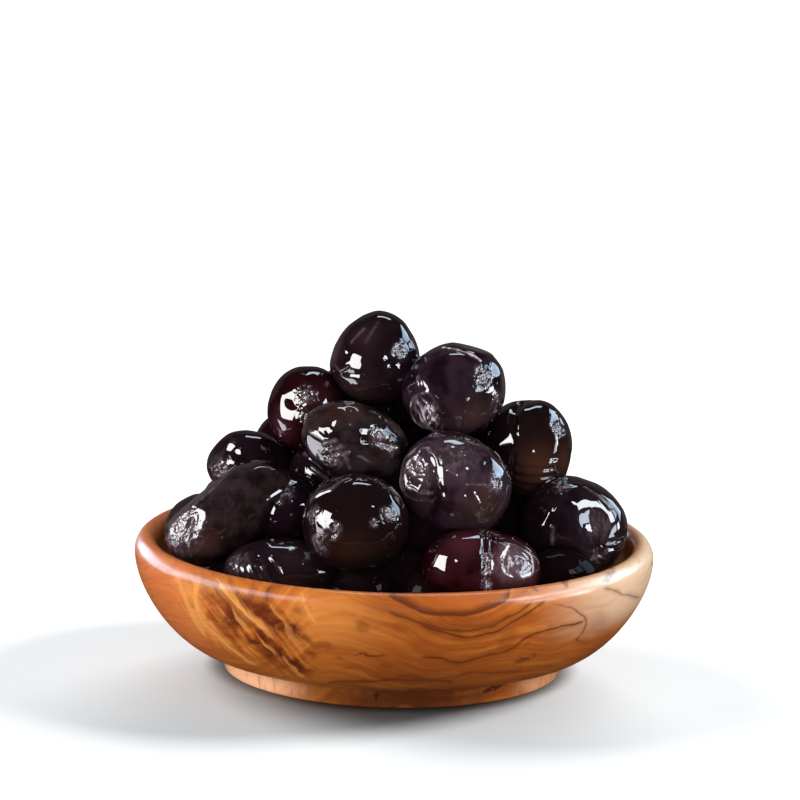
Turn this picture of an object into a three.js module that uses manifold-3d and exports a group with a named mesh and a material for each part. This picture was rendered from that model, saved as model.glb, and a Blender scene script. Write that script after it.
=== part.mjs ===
// A turned wooden dish heaped with olives, in millimetres, +Z up.
// The origin is the centre of the dish's foot, on the surface it stands on.
// Two solids: "dish", and "olives", the heap fused into one body.

import * as THREE from 'three';
import { mergeVertices } from 'three/addons/utils/BufferGeometryUtils.js';
import Module from 'manifold-3d';

// Dish: radii and heights of its section.
const DISH_RADIUS = 60;
const BELLY_HEIGHT = 27.3;
const RIM_HEIGHT = 31.05;
const RIM_CREST_RADIUS = 56.9;
const MOUTH_RADIUS = 54.9;
const MOUTH_HEIGHT = 27.8;
const FLOOR_HEIGHT = 8.5;
const FLOOR_RADIUS = 27;
const FOOT_RADIUS = 39.1;
const FOOT_FLARE = 0.3;
const FOOT_HEIGHT = 4.9;
const FOOT_EDGE = 0.6;
const RECESS_RADIUS = 31;
const RECESS_DEPTH = 1.2;
const DISH_SEGMENTS = 60;

// Heap: the room it has in the dish, and the core that the olives are fused to.
const WALL_GAP = 0.4;
const ROOM_TOP = 100;
const CORE_BOTTOM = 5;
const CORE_RADIUS = 45;
const CORE_SHOULDER = 23;
const CORE_TOP = 59;
const CORE_SEGMENTS = 24;

// Facets of one olive: round its axis, and from end to end.
const OLIVE_SIDES = 14;
const OLIVE_STEPS = 9;

// Olives of the front, crown and sides, laid one by one. at is the centre; long and wide are the
// length and the diameter; turn and tilt give the direction of the tip, in degrees; point narrows
// the tip; square is the power of the rounded section, 2 for a plain oval. Each flat is a pressed
// place: the direction it faces, how deep it goes for its radius, and how far it spreads.
const LAID_OLIVES = [
  { at: [-5, 4, 72], long: 22, wide: 20.6, turn: 10, tilt: 80, point: 0.2, square: 2, flats: [] },
  {
    at: [13, -4, 66.5], long: 25, wide: 20.6, turn: 32, tilt: 24, point: 0, square: 2.3,
    flats: [[0.55, -0.2, 0.85, 0.06, 0.25], [-0.75, -0.6, -0.3, 0.08, 0.12]],
  },
  { at: [-21, 3, 60], long: 20, wide: 18, turn: 60, tilt: 60, point: 0, square: 2, flats: [] },
  {
    at: [-9.5, -15, 55.5], long: 25.5, wide: 18.5, turn: 20, tilt: -22, point: 0, square: 2.2,
    flats: [[-0.6, -0.4, -0.7, 0.1, 0.2]],
  },
  {
    at: [30, 2, 51.5], long: 23.5, wide: 20, turn: 60, tilt: 75, point: 0, square: 2.3,
    flats: [[-0.15, -0.1, 1, 0.08, 0.06]],
  },
  {
    at: [13.5, -20, 48], long: 26, wide: 22, turn: -20, tilt: -25, point: 0, square: 2.2,
    flats: [[-0.78, -0.6, 0.1, 0.12, 0.08]],
  },
  {
    at: [-34, 5.5, 45.5], long: 20.5, wide: 16.5, turn: 170, tilt: 10, point: 0, square: 2,
    flats: [[-0.6, -0.3, 0.7, 0.08, 0.05]],
  },
  {
    at: [-37.5, -15, 39], long: 33, wide: 18, turn: 200, tilt: -28, point: 0.04, square: 2.3,
    flats: [[-0.6, -0.1, 0.8, 0.16, 0.1], [0.5, -0.2, -0.85, 0.12, 0.1]],
  },
  { at: [-45, 7, 29.5], long: 21, wide: 17, turn: 90, tilt: 0, point: 0, square: 2, flats: [] },
  {
    at: [-9, -32, 41], long: 24.5, wide: 22, turn: 0, tilt: 5, point: 0, square: 2.1,
    flats: [[-0.95, -0.3, -0.1, 0.06, 0.1]],
  },
  { at: [-25.5, -31, 28.5], long: 26, wide: 16, turn: 0, tilt: 0, point: 0, square: 2.2, flats: [] },
  {
    at: [19.5, -35, 31.5], long: 27, wide: 18, turn: 0, tilt: -3, point: 0, square: 2.3,
    flats: [[0.15, -0.85, 0.5, 0.06, 0.03]],
  },
  { at: [41, -8, 36], long: 25, wide: 22, turn: 0, tilt: -20, point: 0, square: 2.2, flats: [] },
  { at: [-24, -12, 40], long: 20, wide: 15, turn: 70, tilt: 20, point: 0, square: 2, flats: [] },
  { at: [2.5, -27, 27.5], long: 20, wide: 15, turn: 0, tilt: 0, point: 0, square: 2, flats: [] },
  { at: [32, 2, 34], long: 20, wide: 17, turn: 60, tilt: 0, point: 0, square: 2, flats: [] },
  { at: [-16.5, 1, 44.5], long: 20, wide: 17, turn: 90, tilt: 0, point: 0, square: 2, flats: [] },
  { at: [37, -23, 26.5], long: 20, wide: 15, turn: 20, tilt: 0, point: 0, square: 2, flats: [] },
  { at: [-6, -40, 18.5], long: 20, wide: 15, turn: 5, tilt: 0, point: 0, square: 2, flats: [] },
  { at: [-36, -20, 18.5], long: 20, wide: 15, turn: 125, tilt: 5, point: 0, square: 2, flats: [] },
];

// Olives round the back, in rings that climb the heap: the ring's height and radius, how many,
// the azimuth of the first and the step to the next, in degrees.
const BACK_RINGS = [
  { height: 32, radius: 43.6, count: 5, first: 19, step: 30 },
  { height: 44.5, radius: 32, count: 4, first: 37, step: 33 },
  { height: 57, radius: 19, count: 2, first: 62, step: 56 },
];
const BACK_LENGTH = 23.5;
const BACK_WIDTH = 19.5;
const BACK_SQUARE = 2.1;
// How far each olive of a ring strays from the rule: millimetres and degrees, either way.
const STRAY = { azimuth: 4, radius: 1.2, height: 1.2, long: 1.8, wide: 1.2, turn: 35, tilt: 25 };

const degrees = THREE.MathUtils.degToRad;

// A repeatable number from -1 to 1 for olive index and purpose.
function stray(index, purpose) {
  const wave = Math.sin(index * 12.9898 + purpose * 78.233) * 43758.5453;
  return 2 * (wave - Math.floor(wave)) - 1;
}

function bezier(points, steps) {
  const corners = points.map(([x, y]) => new THREE.Vector2(x, y));
  return new THREE.CubicBezierCurve(...corners).getPoints(steps);
}

// A lathe round Z. The profile runs from the axis underneath, out, up and back to the axis.
function turned(profile, segments) {
  const geometry = new THREE.LatheGeometry(profile, segments);
  geometry.rotateX(Math.PI / 2);
  return geometry;
}

function innerWall(steps) {
  return bezier([
    [MOUTH_RADIUS, MOUTH_HEIGHT],
    [MOUTH_RADIUS - 0.4, 17.5],
    [FLOOR_RADIUS + 17, FLOOR_HEIGHT],
    [FLOOR_RADIUS, FLOOR_HEIGHT],
  ], steps);
}

function dishProfile() {
  const foot = [
    [0, RECESS_DEPTH],
    [RECESS_RADIUS - RECESS_DEPTH, RECESS_DEPTH],
    [RECESS_RADIUS, 0],
    [FOOT_RADIUS - FOOT_EDGE, 0],
    [FOOT_RADIUS, FOOT_EDGE],
  ].map(([x, y]) => new THREE.Vector2(x, y));
  const wall = bezier([
    [FOOT_RADIUS + FOOT_FLARE, FOOT_HEIGHT],
    [49.3, 4.4],
    [DISH_RADIUS, 18.3],
    [DISH_RADIUS, BELLY_HEIGHT],
  ], 9);
  const lipOutside = bezier([
    [DISH_RADIUS, BELLY_HEIGHT],
    [DISH_RADIUS, 29.7],
    [58.4, RIM_HEIGHT],
    [RIM_CREST_RADIUS, RIM_HEIGHT],
  ], 4);
  const lipInside = bezier([
    [RIM_CREST_RADIUS, RIM_HEIGHT],
    [55.8, RIM_HEIGHT],
    [MOUTH_RADIUS + 0.1, 29.75],
    [MOUTH_RADIUS, MOUTH_HEIGHT],
  ], 3);
  return [
    ...foot,
    ...wall,
    ...lipOutside.slice(1),
    ...lipInside.slice(1),
    ...innerWall(7).slice(1),
    new THREE.Vector2(0, FLOOR_HEIGHT),
  ];
}

// The space over the floor and between the walls, drawn in by the gap, and on up past the heap.
function roomProfile() {
  const wall = innerWall(7).reverse();
  const inset = wall.map((point, i) => {
    const before = wall[Math.max(i - 1, 0)];
    const after = wall[Math.min(i + 1, wall.length - 1)];
    const along = after.clone().sub(before).normalize();
    return new THREE.Vector2(point.x - along.y * WALL_GAP, point.y + along.x * WALL_GAP);
  });
  return [
    new THREE.Vector2(0, FLOOR_HEIGHT + WALL_GAP),
    ...inset,
    new THREE.Vector2(MOUTH_RADIUS - WALL_GAP, ROOM_TOP),
    new THREE.Vector2(0, ROOM_TOP),
  ];
}

function coreProfile() {
  const slope = bezier([
    [CORE_RADIUS, CORE_SHOULDER],
    [CORE_RADIUS - 9, CORE_SHOULDER + 12],
    [CORE_RADIUS * 0.4, CORE_TOP],
    [0, CORE_TOP],
  ], 6);
  return [
    new THREE.Vector2(0, CORE_BOTTOM),
    new THREE.Vector2(CORE_RADIUS, CORE_BOTTOM),
    ...slope,
  ];
}

// Pressed places: the radius of the unit shape drops round each direction.
function pressedRadius(direction, flats) {
  return flats.reduce((radius, [x, y, z, depth, spread]) => {
    const facing = new THREE.Vector3(x, y, z).normalize();
    return radius - depth * Math.exp((facing.dot(direction) - 1) / spread);
  }, 1);
}

function oliveGeometry(olive) {
  const geometry = new THREE.SphereGeometry(1, OLIVE_SIDES, OLIVE_STEPS);
  geometry.rotateX(Math.PI / 2);
  const turn = degrees(olive.turn);
  const tilt = degrees(olive.tilt);
  const tip = new THREE.Vector3(
    Math.cos(tilt) * Math.cos(turn), Math.cos(tilt) * Math.sin(turn), Math.sin(tilt));
  const side = new THREE.Vector3(Math.sin(turn), -Math.cos(turn), 0);
  const back = new THREE.Vector3().crossVectors(tip, side);
  const axes = new THREE.Matrix4().makeBasis(side, back, tip);
  const position = geometry.attributes.position;
  const point = new THREE.Vector3();
  for (let i = 0; i < position.count; i += 1) {
    point.fromBufferAttribute(position, i);
    const power = olive.square;
    const sum = ['x', 'y', 'z'].reduce((total, axis) => total + Math.abs(point[axis]) ** power, 0);
    point.multiplyScalar(sum ** (-1 / power));
    const narrow = 1 - olive.point * point.z;
    point.x *= narrow * olive.wide / 2;
    point.y *= narrow * olive.wide / 2;
    point.z *= olive.long / 2;
    point.applyMatrix4(axes);
    point.multiplyScalar(pressedRadius(point.clone().normalize(), olive.flats));
    position.setXYZ(i, point.x, point.y, point.z);
  }
  geometry.translate(...olive.at);
  return geometry;
}

function backOlives() {
  const olives = [];
  for (const ring of BACK_RINGS) {
    for (let place = 0; place < ring.count; place += 1) {
      const index = olives.length + 1;
      const azimuth = ring.first + place * ring.step + STRAY.azimuth * stray(index, 1);
      const radius = ring.radius + STRAY.radius * stray(index, 2);
      olives.push({
        at: [
          radius * Math.cos(degrees(azimuth)),
          radius * Math.sin(degrees(azimuth)),
          ring.height + STRAY.height * stray(index, 5),
        ],
        long: BACK_LENGTH + STRAY.long * stray(index, 3),
        wide: BACK_WIDTH + STRAY.wide * stray(index, 4),
        turn: azimuth + 90 + STRAY.turn * stray(index, 6),
        tilt: STRAY.tilt * stray(index, 7),
        point: 0,
        square: BACK_SQUARE,
        flats: [],
      });
    }
  }
  return olives;
}

const wasm = await Module();
wasm.setup();

function toSolid(geometry) {
  const bare = geometry.clone();
  bare.deleteAttribute('normal');
  bare.deleteAttribute('uv');
  const merged = mergeVertices(bare, 1e-3);
  return new wasm.Manifold(new wasm.Mesh({
    numProp: 3,
    vertProperties: new Float32Array(merged.attributes.position.array),
    triVerts: new Uint32Array(merged.index.array),
  }));
}

function toGeometry(solid) {
  const mesh = solid.getMesh();
  const geometry = new THREE.BufferGeometry();
  geometry.setAttribute('position', new THREE.BufferAttribute(mesh.vertProperties, 3));
  geometry.setIndex(new THREE.BufferAttribute(mesh.triVerts, 1));
  geometry.computeVertexNormals();
  return geometry;
}

// The outer shell alone, so that no hollow stays sealed between the olives.
function filled(solid) {
  const shells = solid.decompose();
  return shells.reduce((largest, shell) => (shell.volume() > largest.volume() ? shell : largest));
}

function heapGeometry() {
  const core = toSolid(turned(coreProfile(), CORE_SEGMENTS));
  const olives = [...LAID_OLIVES, ...backOlives()];
  const fused = olives.reduce((heap, olive) => heap.add(toSolid(oliveGeometry(olive))), core);
  const room = toSolid(turned(roomProfile(), DISH_SEGMENTS));
  return toGeometry(filled(fused.intersect(room)));
}

const oliveWood = new THREE.MeshStandardMaterial({ color: 0xb8733a, roughness: 0.3, metalness: 0 });
const oliveSkin = new THREE.MeshStandardMaterial({ color: 0x2a1d20, roughness: 0.2, metalness: 0 });

const dish = new THREE.Mesh(turned(dishProfile(), DISH_SEGMENTS), oliveWood);
dish.name = 'dish';

const olives = new THREE.Mesh(heapGeometry(), oliveSkin);
olives.name = 'olives';

const dishOfOlives = new THREE.Group();
dishOfOlives.add(dish, olives);

export default dishOfOlives;
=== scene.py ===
"""A turned olive-wood dish heaped with wet dark olives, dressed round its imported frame.

Lengths are millimetres until a mesh is written, which is in metres. +X is right, +Y is away
from the front and +Z is up.
"""

import logging
import math
from collections.abc import Sequence
from dataclasses import dataclass, field
from enum import Enum
from typing import Any

import bmesh
import bpy
import numpy as np
from mathutils import Matrix, Vector, noise

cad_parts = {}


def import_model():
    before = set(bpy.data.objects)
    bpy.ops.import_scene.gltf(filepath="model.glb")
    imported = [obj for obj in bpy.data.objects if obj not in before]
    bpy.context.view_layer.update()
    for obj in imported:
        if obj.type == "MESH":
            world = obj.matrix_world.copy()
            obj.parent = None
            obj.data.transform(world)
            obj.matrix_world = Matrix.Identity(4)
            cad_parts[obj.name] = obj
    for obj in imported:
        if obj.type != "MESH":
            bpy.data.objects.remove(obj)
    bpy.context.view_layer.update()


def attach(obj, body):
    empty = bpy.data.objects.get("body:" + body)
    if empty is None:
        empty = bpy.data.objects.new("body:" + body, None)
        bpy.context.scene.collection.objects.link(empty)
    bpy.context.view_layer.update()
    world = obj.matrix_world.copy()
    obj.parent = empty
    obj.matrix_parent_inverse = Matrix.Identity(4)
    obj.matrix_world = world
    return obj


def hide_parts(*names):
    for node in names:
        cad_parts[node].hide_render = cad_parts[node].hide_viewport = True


LOG = logging.getLogger("dish_of_olives")
MM = 0.001
# How steeply the front view looks down on the olives, for the spots of their marks.
VIEW_ELEVATION = math.radians(12.4)
# Points nearer than the first are merged, and edges shorter than the second dissolved, in metres.
WELD = 1e-6
SLIVER = 1e-7
# A facet reaches round to where its plane is this cosine from the skin.
GRAZING = 0.2
# A crease is worked out within this angle of its path, in radians.
NEARBY = 0.6
# How far an olive's points crowd towards the side that shows.
CROWDING = 0.5
# The skin's broad unevenness: height and width in millimetres, and a shift of the noise.
SWELLS = ((0.28, 6.0, 0.0), (0.1, 2.6, 3.0))

Colour = tuple[float, float, float]
Point = tuple[float, float, float]
Pair = tuple[float, float]
Spot = tuple[float, float]
Socket = bpy.types.NodeSocket


def smooth(edge: float, values: np.ndarray) -> np.ndarray:
    """Falls from 1 at zero to 0 at the edge, level at both.

    Args:
        edge: The distance at which the fall ends.
        values: Distances.

    Returns:
        The weights.
    """
    t = np.clip(1.0 - values / edge, 0.0, 1.0)
    return t * t * (3.0 - 2.0 * t)


def unit(vector: np.ndarray) -> np.ndarray:
    """The vector at length 1."""
    return vector / np.linalg.norm(vector)


def lumps(points: np.ndarray, size: float, seed: float) -> np.ndarray:
    """Smooth random values at points.

    Args:
        points: An array of three columns, in millimetres.
        size: The width of a lump, in millimetres.
        seed: Where in the noise to look.

    Returns:
        Values from about -1 to 1.
    """
    shift = Vector((seed * 3.1, seed * 7.7, seed * 1.3))
    return np.array([noise.noise(Vector(p) / size + shift) for p in points])


def stray(index: int, purpose: int) -> float:
    """A repeatable number from -1 to 1 for an olive's index and a purpose."""
    wave = math.sin(index * 12.9898 + purpose * 78.233) * 43758.5453
    return 2.0 * (wave - math.floor(wave)) - 1.0


def bezier(corners: Sequence[Pair], steps: int) -> list[Pair]:
    """Points along a cubic curve.

    Args:
        corners: Its four control points.
        steps: How many stretches to cut it into.

    Returns:
        The points, both ends among them.
    """
    a, b, c, d = (np.array(corner) for corner in corners)
    curve = []
    for t in np.linspace(0.0, 1.0, steps + 1):
        s = 1.0 - t
        curve.append(tuple(s**3 * a + 3 * s * s * t * b + 3 * s * t * t * c + t**3 * d))
    return curve


def turned(section: Sequence[Pair], turns: int) -> bmesh.types.BMesh:
    """Spins a section once round the axis.

    Args:
        section: Its radii and heights from axis to axis, in millimetres.
        turns: How many stretches the round has.

    Returns:
        The closed shape, in metres, with its faces outwards.
    """
    shape = bmesh.new()
    ring = [shape.verts.new((radius * MM, 0.0, height * MM)) for radius, height in section]
    edges = [shape.edges.new(pair) for pair in zip(ring, ring[1:])]
    bmesh.ops.spin(shape, geom=ring + edges, cent=(0, 0, 0), axis=(0, 0, 1),
                   angle=2.0 * math.pi, steps=turns, use_merge=True)
    bmesh.ops.remove_doubles(shape, verts=shape.verts, dist=WELD)
    bmesh.ops.dissolve_degenerate(shape, dist=SLIVER, edges=shape.edges)
    bmesh.ops.recalc_face_normals(shape, faces=shape.faces)
    return shape


def as_mesh(shape: bmesh.types.BMesh, name: str) -> bpy.types.Mesh:
    """Writes a shape to a new mesh, and frees the shape.

    Args:
        shape: The shape, in metres.
        name: The mesh's name.

    Returns:
        The mesh.
    """
    mesh = bpy.data.meshes.new(name)
    shape.to_mesh(mesh)
    shape.free()
    return mesh


def put(name: str, data: bpy.types.ID) -> bpy.types.Object:
    """Puts a new object in the scene.

    Args:
        name: Its name.
        data: Its mesh, light or camera.

    Returns:
        The object.
    """
    item = bpy.data.objects.new(name, data)
    bpy.context.scene.collection.objects.link(item)
    return item


def add_piece(name: str, mesh: bpy.types.Mesh, material: bpy.types.Material, slot: str,
              *nodes: str) -> bpy.types.Object:
    """Puts a finished mesh in the scene as a piece of the object.

    Args:
        name: The piece's name.
        mesh: Its mesh, in metres, in place.
        material: Its finish.
        slot: The record's material slot; not used.
        nodes: The frame's nodes that it stands for.

    Returns:
        The new object.
    """
    piece = put(name, mesh)
    mesh.materials.append(material)
    mesh.shade_smooth()
    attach(piece, "root")
    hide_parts(*nodes)
    return piece


class Graph:
    """Adds and joins the shader nodes of one material."""

    def __init__(self, name: str) -> None:
        """Starts a material with a principled surface.

        Args:
            name: The material's name.
        """
        self.material = bpy.data.materials.new(name)
        self.material.use_nodes = True
        self.tree = self.material.node_tree
        self.surface = self.tree.nodes["Principled BSDF"]
        self.coordinates = self.add("ShaderNodeTexCoord").outputs["Object"]

    def add(self, kind: str, inputs: dict[Any, Any] | None = None, **settings: Any) -> bpy.types.Node:
        """Adds a node.

        Args:
            kind: The node's type.
            inputs: A value or a socket for each named or numbered input.
            settings: The node's own settings.

        Returns:
            The node.
        """
        node = self.tree.nodes.new(kind)
        for key, value in settings.items():
            setattr(node, key, value)
        for key, value in (inputs or {}).items():
            self.feed(node.inputs[key], value)
        return node

    def feed(self, socket: Socket, value: Any) -> None:
        """Links or sets one input.

        Args:
            socket: The input.
            value: Another node's output, or a plain value.
        """
        if isinstance(value, Socket):
            self.tree.links.new(value, socket)
        elif isinstance(value, tuple) and socket.type == "RGBA":
            socket.default_value = (*value[:3], 1.0)
        else:
            socket.default_value = value

    def math(self, operation: str, *values: Any) -> Socket:
        """The result of a Math node.

        Args:
            operation: Its operation.
            values: Its inputs.

        Returns:
            The output.
        """
        return self.add("ShaderNodeMath", dict(enumerate(values)), operation=operation).outputs[0]

    def vector(self, operation: str, *values: Any) -> Socket:
        """The vector result of a Vector Math node, or its number for a dot product or a length.

        Args:
            operation: Its operation.
            values: Its inputs.

        Returns:
            The output.
        """
        node = self.add("ShaderNodeVectorMath", dict(enumerate(values)), operation=operation)
        return node.outputs["Value" if operation in ("DOT_PRODUCT", "LENGTH") else "Vector"]

    def times(self, first: Any, *others: Any) -> Any:
        """The product of values.

        Args:
            first: A number or an output.
            others: More of them.

        Returns:
            The product's output, or the first value where it is alone.
        """
        for other in others:
            first = self.math("MULTIPLY", first, other)
        return first

    def point(self, x: Any, y: Any, z: Any = 0.0) -> Socket:
        """Three numbers as one place."""
        return self.add("ShaderNodeCombineXYZ", {0: x, 1: y, 2: z}).outputs[0]

    def millimetres(self) -> Socket:
        """The place on the piece, in millimetres."""
        return self.vector("MULTIPLY", self.coordinates, (1.0 / MM,) * 3)

    def laid(self, place: Socket, middle: Point, lean: float, size: Point) -> Socket:
        """A place, read from a middle along leaning axes.

        Args:
            place: The place.
            middle: Where it is read from.
            lean: How far the axes lean, in degrees.
            size: What counts as 1 along each axis.

        Returns:
            The place on those axes.
        """
        turn = (0.0, 0.0, math.radians(lean))
        inputs = {"Vector": place, "Location": middle, "Rotation": turn, "Scale": size}
        return self.add("ShaderNodeMapping", inputs, vector_type="TEXTURE").outputs[0]

    def noise(self, at: Socket, scale: float, detail: float = 2.0,
              rough: float = 0.5) -> Socket:
        """A noise value.

        Args:
            at: Where.
            scale: Lumps to a unit of length.
            detail: Octaves.
            rough: How strong the finer octaves are.

        Returns:
            The value, from 0 to 1.
        """
        inputs = {"Vector": at, "Scale": scale, "Detail": detail, "Roughness": rough}
        return self.add("ShaderNodeTexNoise", inputs).outputs["Fac"]

    def rise(self, value: Socket, low: float, high: float, top: float = 1.0,
             bottom: float = 0.0) -> Socket:
        """A smooth step.

        Args:
            value: What is read.
            low: Where the step starts.
            high: Where it ends.
            top: The result past the end.
            bottom: The result before the start.

        Returns:
            The result.
        """
        inputs = {0: value, 1: low, 2: high, 3: bottom, 4: top}
        return self.add("ShaderNodeMapRange", inputs, interpolation_type="SMOOTHSTEP").outputs[0]

    def lay(self, colour: Any, over: Any, *shares: Any) -> Socket:
        """A colour with another laid over it, by the product of the shares."""
        inputs = {0: self.times(*shares), 6: colour, 7: over}
        return self.add("ShaderNodeMix", inputs, data_type="RGBA").outputs[2]

    def attribute(self, name: str) -> Socket:
        """A number kept on the mesh's points."""
        return self.add("ShaderNodeAttribute", attribute_name=name).outputs["Fac"]

    def bump(self, height: Socket, distance: float, strength: float = 1.0,
             under: Socket | None = None) -> Socket:
        """A bumped normal.

        Args:
            height: The height, from 0 to 1.
            distance: What a height of 1 is, in metres.
            strength: How much of it shows.
            under: A normal to lay it on.

        Returns:
            The normal.
        """
        inputs = {"Height": height, "Distance": distance, "Strength": strength}
        if under is not None:
            inputs["Normal"] = under
        return self.add("ShaderNodeBump", inputs).outputs["Normal"]

    def finish(self, **sockets: Any) -> bpy.types.Material:
        """Sets the surface's inputs.

        Args:
            sockets: A value for each input, its name in lower case with underscores.

        Returns:
            The finished material.
        """
        names = {key.lower().replace(" ", "_"): key for key in self.surface.inputs.keys()}
        for key, value in sockets.items():
            self.feed(self.surface.inputs[names[key]], value)
        return self.material


@dataclass(frozen=True)
class Knot:
    """A swelling in the grain that the growth lines bend round."""

    at: Point
    reach: Point
    height: float


@dataclass(frozen=True)
class Vein:
    """A thin line in the front of the wood, through places given across and up.

    An upright vein runs up the wall, so its places are read from the height.
    """

    places: tuple[Pair, ...]
    width: float = 0.32
    strength: float = 0.8
    upright: bool = False


@dataclass(frozen=True)
class Stain:
    """A soft patch in the front of the wood: its middle across and up, half sizes and lean."""

    across: float
    up: float
    half_width: float
    half_height: float
    lean: float = 0.0
    strength: float = 0.8
    soft: float = 0.6


@dataclass(frozen=True)
class WoodPlace:
    """What the wood's nodes read at a place on the dish, in millimetres.

    The level is the height in the grain. Across, up and spot waver a little, and front is 1 on
    the side that faces the viewer.
    """

    at: Socket
    x: Socket
    y: Socket
    z: Socket
    level: Socket
    wave: Socket
    across: Socket
    up: Socket
    spot: Socket
    uneven: Socket
    front: Socket


@dataclass(frozen=True)
class OliveWood:
    """Polished olive wood: honey ground, wavy dark growth lines, red-brown blotches."""

    honey: Colour = (0.55, 0.16, 0.022)
    amber: Colour = (0.42, 0.1, 0.013)
    russet: Colour = (0.28, 0.06, 0.01)
    rosy: Colour = (0.66, 0.18, 0.05)
    pale: Colour = (0.82, 0.56, 0.36)
    cream: Colour = (0.76, 0.31, 0.08)
    # blond is the colour of the foot's painted highlight.
    blond: Colour = (0.88, 0.45, 0.25)
    line: Colour = (0.13, 0.03, 0.006)
    blotch: Colour = (0.11, 0.018, 0.006)
    umber: Colour = (0.09, 0.02, 0.006)
    char: Colour = (0.045, 0.011, 0.004)
    reach: Pair = (120.0, 40.0)
    line_spacing: float = 8.0
    line_width: float = 0.05
    faint_spacing: float = 2.1
    faint_width: float = 0.3
    faint_strength: float = 0.13
    grit_depth: float = 0.05
    knots: tuple[Knot, ...] = (
        Knot((17.5, -55.0, 30.0), (13.0, 26.0, 12.0), 11.0),
        Knot((-30.0, -48.0, 20.0), (12.0, 16.0, 8.0), 6.0),
        Knot((0.0, 55.0, 20.0), (16.0, 20.0, 10.0), 12.0),
        Knot((-48.0, 20.0, 22.0), (14.0, 14.0, 9.0), -9.0),
        Knot((40.0, 38.0, 14.0), (12.0, 12.0, 7.0), 8.0),
    )
    light_patch: Stain = Stain(-14.0, 25.0, 9.0, 5.5, -8.0, 0.35, 0.9)
    # The lighter, pinker ends of the foot: painted highlight.
    painted_foot_highlight: tuple[Stain, ...] = (
        Stain(-35.0, 2.2, 14.0, 4.0, 0.0, 1.0, 0.5), Stain(38.0, 2.2, 9.0, 4.0, 0.0, 0.6, 0.4),
    )
    veins: tuple[Vein, ...] = (
        Vein(((-1.0, 27.6), (6.7, 25.0), (14.3, 22.9), (18.0, 22.8), (25.3, 25.3), (31.0, 28.6)), 0.4),
        Vein(((6.0, 24.8), (12.3, 22.5), (17.5, 21.1), (21.6, 21.9), (28.9, 25.6), (34.0, 28.3)), 0.4, 0.9),
        Vein(((6.5, 16.1), (10.7, 16.0), (14.8, 14.7), (20.0, 15.8), (25.8, 17.0), (31.3, 20.5),
              (36.5, 21.3), (43.0, 21.4)), 0.35, 0.9),
        Vein(((15.0, 44.2), (16.6, 41.5), (18.3, 42.6), (20.9, 43.4), (23.3, 42.4), (25.6, 39.5),
              (27.2, 35.5)), 0.28, 0.75, True),
        Vein(((14.0, 9.6), (17.0, 11.4), (21.5, 10.9), (29.5, 10.4)), 0.4, 0.6),
        Vein(((47.0, 28.6), (51.2, 26.0), (56.5, 21.5)), 0.4, 0.6),
        Vein(((27.0, -27.6), (28.9, -28.0), (31.0, -26.6)), 0.5, 0.8, True),
        Vein(((1.0, 10.0), (3.5, 11.0), (8.0, 9.7)), 0.6, 0.6),
        Vein(((-14.0, 7.9), (-6.0, 8.9), (4.0, 9.7), (14.0, 9.0)), 0.6, 0.75),
    )
    streaks: tuple[Vein, ...] = (
        Vein(((14.5, -42.0), (18.5, -44.0), (23.1, -46.3), (29.0, -48.8)), 0.9, 0.8, True),
        Vein(((9.5, -30.5), (12.0, -34.1), (15.4, -38.2), (19.1, -42.3), (24.0, -44.2), (29.0, -43.6)),
             0.8, 0.85, True),
        Vein(((20.5, -28.0), (24.0, -32.8), (26.5, -35.8), (30.5, -39.5)), 0.8, 0.85, True),
        Vein(((23.5, -16.8), (26.7, -18.9), (30.5, -20.2)), 0.5, 0.6, True),
    )
    cap: tuple[Pair, ...] = (
        (-1.5, 31.0), (4.9, 28.1), (10.5, 26.6), (16.0, 26.5), (21.5, 27.8), (25.0, 29.3), (26.0, 31.0))
    blots: tuple[Stain, ...] = (
        Stain(-35.5, 21.8, 3.6, 2.6, -20.0, 0.95), Stain(-29.9, 25.0, 4.6, 2.2, -12.0, 0.95),
        Stain(-28.6, 19.0, 1.8, 2.4, 10.0, 1.0), Stain(-24.4, 22.0, 5.2, 1.6, -22.0, 1.0),
        Stain(-30.6, 16.8, 1.6, 1.0, 0.0, 1.0), Stain(-26.5, 14.8, 3.6, 1.2, -20.0, 1.0),
        Stain(-21.5, 12.3, 4.0, 1.3, -28.0, 1.0), Stain(-45.0, 22.3, 0.6, 0.5),
        Stain(-43.9, 21.2, 0.5, 0.5),
        Stain(29.1, 13.4, 1.6, 0.8, 0.0, 0.7), Stain(31.7, 14.5, 0.8, 0.8, 0.0, 0.5),
        Stain(38.3, 30.8, 0.9, 0.5), Stain(31.5, 30.7, 0.9, 0.5, 0.0, 0.6),
        Stain(48.7, 30.3, 1.2, 0.6, 0.0, 0.6),
    )
    shades: tuple[Stain, ...] = (
        Stain(-16.5, 18.7, 4.0, 1.1, -15.0, 0.45), Stain(-20.5, 26.5, 1.6, 1.2, 0.0, 0.4),
        Stain(-6.5, 24.2, 2.2, 1.6, 0.0, 0.5), Stain(-4.8, 16.7, 3.8, 0.5, 0.0, 0.8),
        Stain(-17.7, 15.5, 1.7, 0.6, -10.0, 0.5), Stain(-11.5, 15.2, 1.7, 0.5, 0.0, 0.5),
        Stain(-9.2, 12.8, 2.2, 0.6, 0.0, 0.45), Stain(-1.2, 14.0, 2.4, 0.6, 0.0, 0.5),
        Stain(25.5, 19.8, 2.0, 2.8, -20.0, 0.4), Stain(30.0, 18.1, 0.8, 0.8, 0.0, 0.4),
        Stain(12.0, 24.4, 15.0, 2.2, 0.0, 0.45, 0.8),
        Stain(0.0, 28.0, 11.0, 3.0, 0.0, 0.3, 0.9), Stain(-36.0, 26.0, 6.5, 2.8, -20.0, 0.6, 0.8),
        # The wide stain low in the middle, last here, is painted shade: the wall darker low down.
        Stain(46.0, 19.5, 2.6, 3.2, 0.0, 0.3, 0.9), Stain(8.0, 13.0, 30.0, 8.0, 0.0, 0.27, 0.9),
    )
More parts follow.
